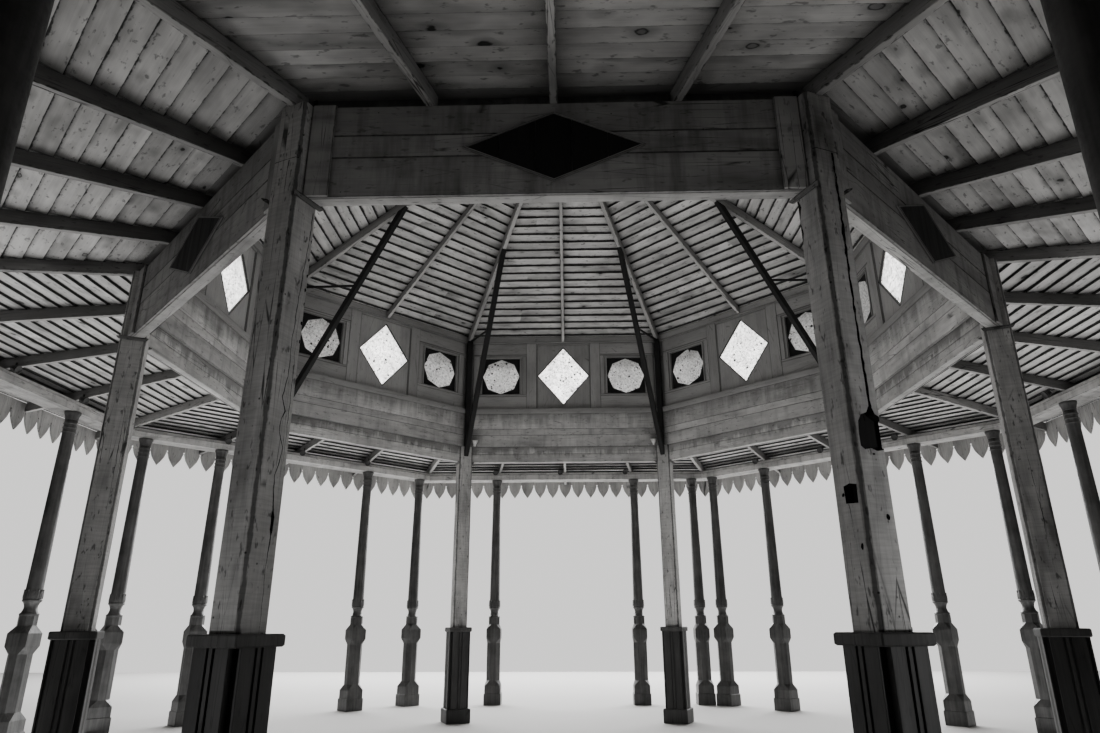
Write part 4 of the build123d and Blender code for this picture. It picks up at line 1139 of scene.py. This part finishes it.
def left_post_inner_face(cuts, chance):
    """A long wandering crack and a row of nail holes."""
    cuts.crack([
        (1.357, 0.035, 0.003), (1.55, 0.033, 0.004), (1.73, 0.028, 0.004), (1.86, 0.033, 0.012),
        (1.93, 0.034, 0.034), (2.00, 0.031, 0.010), (2.19, 0.010, 0.004), (2.30, 0.042, 0.008),
        (2.36, 0.046, 0.006), (2.44, 0.005, 0.006), (2.52, 0.012, 0.004), (2.57, 0.036, 0.009),
        (2.62, 0.010, 0.006), (2.65, -0.004, 0.006), (2.78, 0.022, 0.005), (3.02, 0.020, 0.005),
        (3.29, 0.030, 0.006), (3.54, 0.050, 0.006), (3.65, 0.062, 0.006), (3.90, 0.070, 0.006),
    ], 0.045, 901)
    for height, aside in (
        (3.02, 0.088), (3.14, 0.084), (3.27, 0.090), (3.36, 0.082), (3.46, 0.088), (3.57, 0.084),
        (3.70, 0.090),
    ):
        cuts.pit(aside, height, 0.009, 0.014, 0.03, chance)


def right_post_inner_face(cuts, chance):
    """An old mortise with a crack under it, a few pits, and a broken arris."""
    cuts.hole([(-0.014, 2.012), (0.080, 2.004), (0.084, 2.104), (0.030, 2.116), (-0.018, 2.106)], 0.060)
    cuts.crack([(1.83, 0.016, 0.001), (1.92, 0.010, 0.003), (2.008, 0.004, 0.005)], 0.02, 905)
    cuts.pit(0.066, 1.775, 0.013, 0.022, 0.03, chance)
    cuts.pit(-0.030, 2.06, 0.014, 0.012, 0.01, chance)
    cuts.hole([
        (-0.130, 3.45), (-0.104, 3.48), (-0.092, 3.60), (-0.068, 3.70), (-0.086, 3.79), (-0.060, 3.88),
        (-0.078, 3.934), (-0.130, 3.934),
    ], 0.030)


def right_post_outer_face(cuts, chance):
    """A wide open split over a ragged hole."""
    cuts.crack([
        (2.47, 0.030, 0.022), (2.80, 0.028, 0.020), (3.10, 0.026, 0.018), (3.30, 0.028, 0.022),
        (3.50, 0.030, 0.020), (3.80, 0.038, 0.024), (4.00, 0.040, 0.020), (4.212, 0.036, 0.016),
    ], 0.070, 902)
    cuts.hole([
        (-0.076, 2.310), (-0.050, 2.292), (0.000, 2.301), (0.040, 2.288), (0.100, 2.300), (0.125, 2.315),
        (0.125, 2.470), (0.100, 2.482), (0.060, 2.500), (0.040, 2.545), (0.018, 2.540), (0.000, 2.505),
        (-0.045, 2.490), (-0.070, 2.450), (-0.078, 2.380),
    ], 0.055)
    cuts.pit(0.045, 1.932, 0.017, 0.020, 0.012, chance)
    cuts.pit(0.010, 2.270, 0.012, 0.006, 0.012, chance)


def post_cutters():
    """The cutters of all the posts. The damage to the two near posts is as the real one's, and
    the other faces have shorter cracks by chance."""
    known = {
        (NEAR_LEFT, 1): left_post_inner_face, (NEAR_RIGHT, 3): right_post_inner_face,
        (NEAR_RIGHT, 0): right_post_outer_face,
    }
    cutters = []
    for side in range(SIDES):
        chance = Random(500 + side)
        for face in range(4):
            cuts = PostCuts(side, face)
            if face == 0:
                cuts.scarf()
            damage = known.get((side, face))
            if damage:
                damage(cuts, chance)
            if damage in (None, left_post_inner_face) and (side, face) != (NEAR_LEFT, 0):
                cuts.split(chance)
            cutters += cuts.cutters
    return cutters


def hall_posts():
    """Posts with eased edges and a joint at the step, split by drying cracks, with mouldings
    under the ends of the beams."""
    posts = Timbers(51)
    tones, chamfered = [], cut_square(POST_HALF, POST_CHAMFER)
    limit = BEAM_INNER / COS_HALF - POST_RING
    upper = [(max(u, limit + 0.0005 - abs(v) * TAN_HALF), v) for u, v in chamfered]
    for side in range(SIDES):
        angle = side * SECTOR + HALF
        tones.append(0.45 + 0.3 * posts.chance.random())
        for section, low, high, span, rows, wear in (
            (chamfered, PEDESTAL_TOP, STEP - 0.0008, STEP - PEDESTAL_TOP, 44, 0.0022),
            (upper, STEP, BEAM_TOP, BEAM_TOP - STEP, 8, 0.001),
        ):
            posts.bar(
                section, lambda share, u, v: spot(angle, POST_RING + u, v, low + (high - low) * share),
                span, rows, wear, tone=tones[side],
            )
    mesh = posts.mesh("hall_posts")

    points, faces = [], []
    for cutter_points, cutter_faces in post_cutters():
        faces += [tuple(len(points) + corner for corner in face) for face in cutter_faces]
        points += cutter_points
    cut_mesh = bpy.data.meshes.new("crack cutters")
    cut_mesh.from_pydata(points, [], faces)
    for stock in (mesh, cut_mesh):
        for finish in (post_paint, hollow_shade_paint):
            stock.materials.append(finish)
    cut_mesh.polygons.foreach_set("material_index", [1] * len(cut_mesh.polygons))
    block, cutter = in_scene("posts uncut", mesh), in_scene("crack cutters", outwards(cut_mesh))
    modifier = block.modifiers.new("cracks", "BOOLEAN")
    for setting, value in (
        ("operation", "DIFFERENCE"), ("solver", "EXACT"), ("use_self", True), ("material_mode", "TRANSFER"),
        ("object", cutter),
    ):
        setattr(modifier, setting, value)
    cut = evaluated_mesh(block)
    bpy.data.objects.remove(block)
    bpy.data.objects.remove(cutter)
    grain, shade = [], []
    for vertex in cut.vertices:
        x, y, z = vertex.co
        side = round((atan2(y, x) - HALF) / SECTOR) % SIDES
        angle = side * SECTOR + HALF
        out, aside = x * cos(angle) + y * sin(angle), y * cos(angle) - x * sin(angle)
        grain.append((z + 4.7 * side, out - POST_RING, aside))
        shade.append(tones[side])
    lay_grain(cut, grain, [(POST_HALF, POST_HALF, 0.0)] * len(grain), shade)
    finished("hall_posts", cut, None, "post_timber", "timber_posts")

    collars = Timbers(52)
    foot, top, inner = BEAM_BOTTOM - 0.025, BEAM_BOTTOM - 0.0005, POST_HALF + 0.0005
    moulding = [
        (inner, foot), (POST_HALF + 0.008, foot), (POST_HALF + 0.018, foot + 0.009),
        (POST_HALF + 0.024, foot + 0.016), (POST_HALF + 0.024, top), (inner, top),
    ]
    for side in range(SIDES):
        for turn in (pi / 2, 3 * pi / 2):
            def place(share, u, v):
                x, y, z = spot(turn, u, (2 * share - 1) * (u - 0.001), v)
                return spot(side * SECTOR + HALF, POST_RING + x, y, z)

            collars.bar(moulding, place, 0.25, 4, 0.0006)
    collars.piece("post_collar_mouldings", post_paint, "post_timber", "post_collars")


def pedestals():
    """Plinths, grooved boarding and worn caps under the posts."""
    boards, caps, plinths = Timbers(61), Timbers(62), Timbers(63)
    notch, board, groove = 0.042, 0.093, 0.015
    core, outer = PEDESTAL_HALF - 0.012, PEDESTAL_HALF - notch
    inner = core - notch
    cuts = (-outer, -outer + board, -outer + board + groove, outer - board - groove, outer - board, outer)
    cross = [
        (core, -inner), (core, inner), (inner, inner), (inner, core), (-inner, core), (-inner, inner),
        (-core, inner), (-core, -inner), (-inner, -inner), (-inner, -core), (inner, -core), (inner, -inner),
    ]
    for side in range(SIDES):
        def stand(low, high, turn=0.0):
            def place(share, u, v):
                x, y, z = spot(turn, u, v, low + (high - low) * share)
                return spot(side * SECTOR + HALF, POST_RING + x, y, z)

            return place

        height = CAP_BOTTOM - PLINTH_TOP
        boards.bar(cross, stand(PLINTH_TOP, CAP_BOTTOM - 0.001), height, 2, 0.0, tone=0.0)
        for turn in (face * pi / 2 for face in range(4)):
            for left, right in (cuts[0:2], cuts[2:4], cuts[4:6]):
                boards.bar(
                    planed(core - 0.004, PEDESTAL_HALF, left, right, 0.002),
                    stand(PLINTH_TOP, CAP_BOTTOM - 0.0005, turn), height, 10, 0.0010,
                )
        for timbers, half, arris, low, high, wear, ends in (
            (caps, 0.174, 0.007, CAP_BOTTOM, PEDESTAL_TOP, 0.003, 0.009),
            (plinths, 0.185, 0.005, 0.0, PLINTH_TOP, 0.0015, 0.010),
        ):
            timbers.bar(planed(-half, half, -half, half, arris), stand(low, high), high - low, 3, wear, ends)
    boards.piece("pedestal_boards", pedestal_paint, "pedestal_timber", "post_pedestals")
    caps.piece("pedestal_caps", worn_edge_paint, "pedestal_timber", "post_caps")
    plinths.piece("pedestal_plinths", pedestal_paint, "pedestal_timber", "post_plinths")


class Castings:
    """Closed shapes gathered into one mesh."""

    def __init__(self):
        self.points, self.faces, self.smooth = [], [], []

    def stack(self, rings, smooth=False):
        faces = skin(len(self.points), len(rings), len(rings[0]))
        self.points += [point for ring in rings for point in ring]
        self.faces += faces
        self.smooth += [smooth and len(face) == 4 for face in faces]

    def turned(self, profile, around=24, lean=0.0):
        """A turned solid from heights and radii, leant back by an angle."""
        lie = Matrix.Rotation(lean, 3, "Y")
        self.stack([
            [lie @ Vector(spot(2 * pi * k / around, radius, 0, height)) for k in range(around)]
            for height, radius in profile
        ], smooth=True)

    def prism(self, levels):
        """A square solid with cut corners, from heights, half widths and cuts."""
        self.stack([[(x, y, height) for x, y in cut_square(half, cut)] for height, half, cut in levels])

    def mesh(self, name):
        mesh = bpy.data.meshes.new(name)
        mesh.from_pydata(self.points, [], self.faces)
        mesh.polygons.foreach_set("use_smooth", self.smooth)
        return outwards(mesh)


def column_mesh():
    """One cast-iron column: plinth, broached pedestal, moulded collar, leaf band, shaft, rings
    and a bell capital, as one stack of closed castings."""
    column = Castings()
    eighth = 2 - sqrt(2)
    body, neck = 0.1225, 0.100
    column.prism([(0, 0.157, 0.004), (0.190, 0.157, 0.004), (0.200, 0.147, 0.004)])
    column.prism([
        (0.2005, 0.145, 0.004), (0.330, 0.145, 0.004), (0.420, body, body * eighth),
        (1.070, body, body * eighth), (1.160, 0.1325, 0.004), (1.310, 0.1325, 0.004),
        (1.400, neck, neck * eighth), (1.5145, neck, neck * eighth),
    ])
    foot = 1.515
    waist = [(foot + 0.040 + 0.120 * step / 6, 0.092 - 0.018 * sin(pi * step / 6)) for step in range(7)]
    column.turned([
        (foot, 0.102), (foot + 0.006, 0.108), (foot + 0.026, 0.108), (foot + 0.034, 0.100), *waist,
        (foot + 0.166, 0.100), (foot + 0.174, 0.108), (foot + 0.194, 0.108), (foot + 0.1995, 0.102),
    ], 28)
    base, taper_head = 1.715, COLUMN_HEIGHT - 0.296
    shaft = [(base, 0.104), (base + 0.010, 0.106), (base + 0.120, 0.0955)]
    for share in (step / 8 for step in range(1, 9)):
        shaft.append((base + 0.120 + (taper_head - base - 0.120) * share, 0.095 - 0.017 * share))
    for ring in range(3):
        low = taper_head + ring * 0.060
        shaft += [
            (low + 0.002, 0.079), (low + 0.004, 0.086), (low + 0.009, 0.0885), (low + 0.014, 0.086),
            (low + 0.018, 0.079), (low + 0.058, 0.078),
        ]
    column.turned(shaft)
    for turn in (2 * pi * leaf / 12 for leaf in range(12)):
        rows = []
        for high, wide, out in (
            (0.000, 0.022, 0.1105), (0.030, 0.027, 0.1115), (0.060, 0.025, 0.1105), (0.085, 0.018, 0.1085),
            (0.104, 0.008, 0.1085), (0.113, 0.003, 0.1085),
        ):
            rows.append([
                spot(turn, out - back - abs(hand) * fall, hand * wide, base + 0.002 + high)
                for hand, back, fall in (
                    (-1, 0.013, 0.004), (1, 0.013, 0.004), (1, 0.0, 0.006), (0, 0.0, 0.006),
                    (-1, 0.0, 0.006),
                )
            ])
        column.stack(rows)
    top = COLUMN_HEIGHT - 0.026
    shares = [step / 7 for step in range(1, 8)]
    bell = [(top - 0.090 + 0.090 * share, 0.080 + 0.023 * share ** 2.2) for share in shares]
    column.turned([
        (top - 0.0895, 0.080), *bell, (top + 0.002, 0.103), (COLUMN_HEIGHT - 0.003, 0.103),
        (COLUMN_HEIGHT - 0.0005, 0.100),
    ], 28)
    return column.mesh("column")


def stand_tree():
    """Copies of one thing on the points of a mesh, each turned by the point's own angle."""
    tree, steps, given, out = new_tree(
        "Set out on points", (("Places", "Object"), ("Thing", "Object"), ("Finish", "Material"))
    )
    places, thing = (
        steps.add("GeometryNodeObjectInfo", {"Object": given[title]}, "Geometry")
        for title in ("Places", "Thing")
    )
    turn = steps.add("GeometryNodeInputNamedAttribute", {"Name": "turn"}, data_type="FLOAT_VECTOR")
    copies = {"Points": places, "Instance": thing, "Rotation": turn}
    placed = steps.add("GeometryNodeInstanceOnPoints", copies)
    real = steps.add("GeometryNodeRealizeInstances", {"Geometry": placed})
    dressed = steps.add("GeometryNodeSetMaterial", {"Geometry": real, "Material": given["Finish"]})
    steps.feed(out.inputs[0], dressed)
    return tree


stand = stand_tree()


def set_out(name, mesh, spots, finish, slot, *nodes):
    """Copies of a mesh at pairs of a place and a turn about the upright, as one piece."""
    dots = bpy.data.meshes.new(name + " places")
    dots.from_pydata([place for place, turn in spots], [], [])
    layer = dots.attributes.new("turn", "FLOAT_VECTOR", "POINT")
    layer.data.foreach_set("vector", [part for place, turn in spots for part in (0.0, 0.0, turn)])
    places, thing = in_scene(name + " places", dots), in_scene(name + " pattern", mesh)
    piece = grown(name, stand, {"Places": places, "Thing": thing, "Finish": finish}, slot, *nodes)
    for helper in (places, thing):
        bpy.data.objects.remove(helper)
    return piece


def columns():
    """Four columns to a side, less the one that is missing."""
    far, missing = COLUMN_LINE * TAN_HALF - 0.226, (2, 3)
    spots = [
        (spot(side * SECTOR, COLUMN_LINE, aside, 0), side * SECTOR)
        for side in range(SIDES) for place, aside in enumerate((-far, -1.377, 1.377, far))
        if (side, place) != missing
    ]
    set_out(
        "iron_columns", column_mesh(), spots, column_paint, "column_iron", "column_plinths",
        "column_pedestals", "column_collars", "column_shafts", "column_capitals",
    )


def lamp_mesh(profile, lean):
    lamp = Castings()
    lamp.turned(profile, 16, lean)
    return lamp.mesh("lamp")


def fittings():
    """Small round lamps beside the rafters' feet, cone lamps on the ledge by the two posts that
    face the viewer, and a thin tie from each corner post to its strut."""
    can = [
        (0.0, 0.020), (0.004, 0.034), (0.050, 0.042), (0.075, 0.046), (0.078, 0.052), (0.090, 0.052),
        (0.092, 0.046), (0.084, 0.043), (0.080, 0.030), (0.079, 0.010),
    ]
    out = COLUMN_LINE - 0.190
    low = veranda_underside(out) - 0.030
    rafters = [(side * SECTOR, out * tan(turn)) for side in range(SIDES) for turn in FAN]
    spots = [(spot(angle, out, aside + 0.095, low), angle + pi) for angle, aside in rafters]
    set_out("eaves_lamps", lamp_mesh(can, radians(112)), spots, iron_paint, "column_iron")
    straps = Timbers(81)
    strip, fold = planed(-0.012, 0.012, -0.0025, 0.0025, 0.0008), out + 0.010
    for angle, aside in rafters:
        for place, length in (
            (lambda share, u, v: spot(angle, fold + u, aside + 0.022 + 0.05 * share, low + 0.024 + v), 0.05),
            (lambda share, u, v: spot(angle, fold + u, aside + 0.029 + v, low + 0.022 + 0.06 * share), 0.06),
        ):
            straps.bar(strip, place, length, 1, 0.0)
    straps.piece("lamp_straps", dark_paint, "column_iron")
    cone = [
        (0.0, 0.014), (0.004, 0.020), (0.030, 0.022), (0.038, 0.030), (0.098, 0.050), (0.104, 0.051),
        (0.102, 0.046), (0.060, 0.030),
    ]
    corner = FASCIA_INNER / COS_HALF
    spots = [
        (spot(angle, corner - 0.090, hand * -0.120, STEP + 0.001), angle + pi)
        for angle, hand in ((SECTOR + HALF, -1), (2 * SECTOR + HALF, 1))
    ]
    set_out("ledge_lamps", lamp_mesh(cone, radians(14)), spots, lamp_paint, "column_iron")
    ties = Timbers(82)
    start, end = (corner - 0.070, HEAD_BOTTOM + 0.010), HEAD_BOTTOM - 0.180
    run = STRUT_FOOT[0] - (end - STRUT_FOOT[1]) / STRUT_SLOPE + 0.030 - start[0]
    for side in range(SIDES):
        ties.bar(
            planed(-0.012, 0.012, -0.015, 0.015, 0.002),
            lambda share, u, v: spot(
                side * SECTOR + HALF, start[0] + run * share, u, start[1] + (end - start[1]) * share + v
            ),
            -run, 6, 0.001,
        )
    ties.piece("corner_ties", dark_paint, "dark_timber")


def roof_covering():
    """Sheet over both roofs: lapped courses, upright seams, rolls on the hips and a cap."""
    peak, top = VERANDA_PEAK + BOARDING, APEX + BOARDING_RISE
    for name, start, end, pitch, line, slope, seed, node in (
        ("main_roof_sheet", 0.05, ROOF_EDGE, 1.15, top, ROOF_SLOPE, 5, "roof_covering"),
        ("veranda_sheet", WALL_OUTER + 0.004, VERANDA_EDGE, 1.12, peak, VERANDA_SLOPE, 6, "veranda_covering"),
    ):
        lapped_rows(
            name, start, end - 0.014, pitch, line + 0.001, slope, seed, sheet_skin, "roof_sheet", node,
            thickness=0.010, step=0.008, lap=0.04, uneven=0.002,
        )

    def strip(timbers, section, angle, aside, start, end, top_line, fall, length, rows, wear):
        def place(share, u, v):
            out = start + (end - start) * share
            return spot(angle, out, aside + u, top_line + v - fall * out)

        timbers.bar(section, place, length, rows, wear)

    seams, rolls = Timbers(71), Timbers(72)
    pitch = 0.56
    fold = [(-0.011, 0.0), (0.011, 0.0), (0.009, 0.022), (0.004, 0.028), (-0.004, 0.028), (-0.009, 0.022)]
    bow = [(0.045 * cos(pi * k / 8), 0.002 + 0.032 * sin(pi * k / 8)) for k in range(9)]
    bow += [(-0.045, -0.010), (0.045, -0.010)]
    for side in range(SIDES):
        middle, hip = side * SECTOR, side * SECTOR + HALF
        for low_edge, edge, line, slope in (
            (0.34, ROOF_EDGE + 0.026, top + 0.010, ROOF_SLOPE),
            (WALL_OUTER + 0.006, VERANDA_EDGE + 0.026, peak + 0.010, VERANDA_SLOPE),
        ):
            count = int((edge * TAN_HALF - 0.12) / pitch)
            for aside in (number * pitch for number in range(-count, count + 1)):
                start = max(low_edge, (abs(aside) + 0.06) / TAN_HALF)
                if edge - start >= 0.2:
                    strip(seams, fold, middle, aside, start, edge, line, slope, edge - start, 4, 0.0008)
        for start, edge, line, slope in (
            (0.30, ROOF_EDGE, top + COVERING_RISE, ROOF_SLOPE),
            (WALL_OUTER / COS_HALF + 0.02, VERANDA_EDGE, peak + 0.018, VERANDA_SLOPE),
        ):
            end = (edge + 0.028) / COS_HALF
            fall = slope * COS_HALF
            strip(rolls, bow, hip, 0, start, end - 0.02, line, fall, end - start, 10, 0.001)
    seams.piece("sheet_seams", sheet_skin, "roof_sheet")
    rolls.piece("hip_roll_sheets", sheet_skin, "roof_sheet", "hip_rolls")
    keep_solid("apex_cap", sheet_skin)
    keep_solid("roof_boss", iron_paint)


def studio():
    """A plain pale floor in a pale surround. The light comes from the surround ahead, through the
    open sides, and from soft lights near the ground and over the roofs."""
    reach, end = 60.0, 16.5
    floor_mesh = bpy.data.meshes.new("floor")
    corners = [(-reach, -reach, 0), (reach, -reach, 0), (reach, end, 0), (-reach, end, 0)]
    floor_mesh.from_pydata(corners, [], [(0, 1, 2, 3)])
    paving, steps, shader = bare_finish("floor")
    shader.inputs["Base Color"].default_value = grey(0.56)
    shader.inputs["Roughness"].default_value = 0.85
    floor_mesh.materials.append(paving)
    in_scene("floor", floor_mesh)
    world = bpy.data.worlds.new("studio")
    world.use_nodes = True
    steps = Steps(world.node_tree)
    background = world.node_tree.nodes["Background"]
    background.inputs[0].default_value = grey(1.0)
    lighting = steps.span(steps.parts(steps.place("Generated"))[1], 0.30, 0.78, 0.003, 1.15)
    seen = steps.add("ShaderNodeLightPath", out="Is Camera Ray")
    steps.feed(background.inputs[1], steps.math("MAXIMUM", lighting, seen * 1.15))
    bpy.context.scene.world = world
    for name, place, target, size, power, spread in (
        ("floor light", (0, 1.8, 0.03), (0, 2.6, 5), (5.4, 4.4), 70, 180),
        ("left floor light", (-5.4, -0.4, 0.03), (-5.4, -0.4, 5), (2.6, 6.2), 92, 180),
        ("right floor light", (5.4, -0.2, 0.03), (5.4, -0.2, 5), (2.6, 5.6), 62, 180),
        ("back light", (0, 16, 7.5), (0, 8, 0), (26, 5), 7000, 180),
        ("roof light", (0, 0, 14), (0, 0.001, 0), (11, 11), 480, 40),
        ("low left light", (-4.4, -6.6, 0.3), (-1.2, -4.0, 1.6), (0.8, 0.4), 5.6, 60),
        ("low right light", (6.6, -7.0, 0.4), (1.8, -4.0, 1.9), (1.2, 0.6), 8, 40),
    ):
        data = bpy.data.lights.new(name, "AREA")
        data.shape, data.energy, data.spread = "RECTANGLE", power, radians(spread)
        data.size, data.size_y = size
        light = in_scene(name, data)
        light.visible_camera = False
        light.location = place
        light.rotation_euler = (Vector(target) - Vector(place)).to_track_quat("-Z", "Y").to_euler()


def photo_camera():
    """The viewpoint of the photograph: low, outside the eaves, looking up into the roof."""
    pitch, yaw, roll = radians(19.264), radians(-1.429), radians(-0.179)
    ahead = Vector((sin(yaw) * cos(pitch), cos(yaw) * cos(pitch), sin(pitch)))
    level = Vector((cos(yaw), -sin(yaw), 0))
    upward = level.cross(ahead)
    right = level * cos(roll) + upward * sin(roll)
    up = upward * cos(roll) - level * sin(roll)
    data = bpy.data.cameras.new("camera")
    data.sensor_width = 36
    data.lens = 736.6 / 1100 * data.sensor_width
    data.clip_end = 200
    camera = in_scene("camera", data)
    turn = Matrix((right, up, -ahead)).transposed().to_4x4()
    camera.matrix_world = Matrix.Translation((0.071, -8.155, 1.401)) @ turn
    bpy.context.scene.camera = camera


for build in (
    main_roof, veranda_roof, valance, hall_beams, plaques, window_wall, corner_timbers, hall_posts,
    pedestals, columns, roof_covering, fittings, studio, photo_camera,
):
    build()
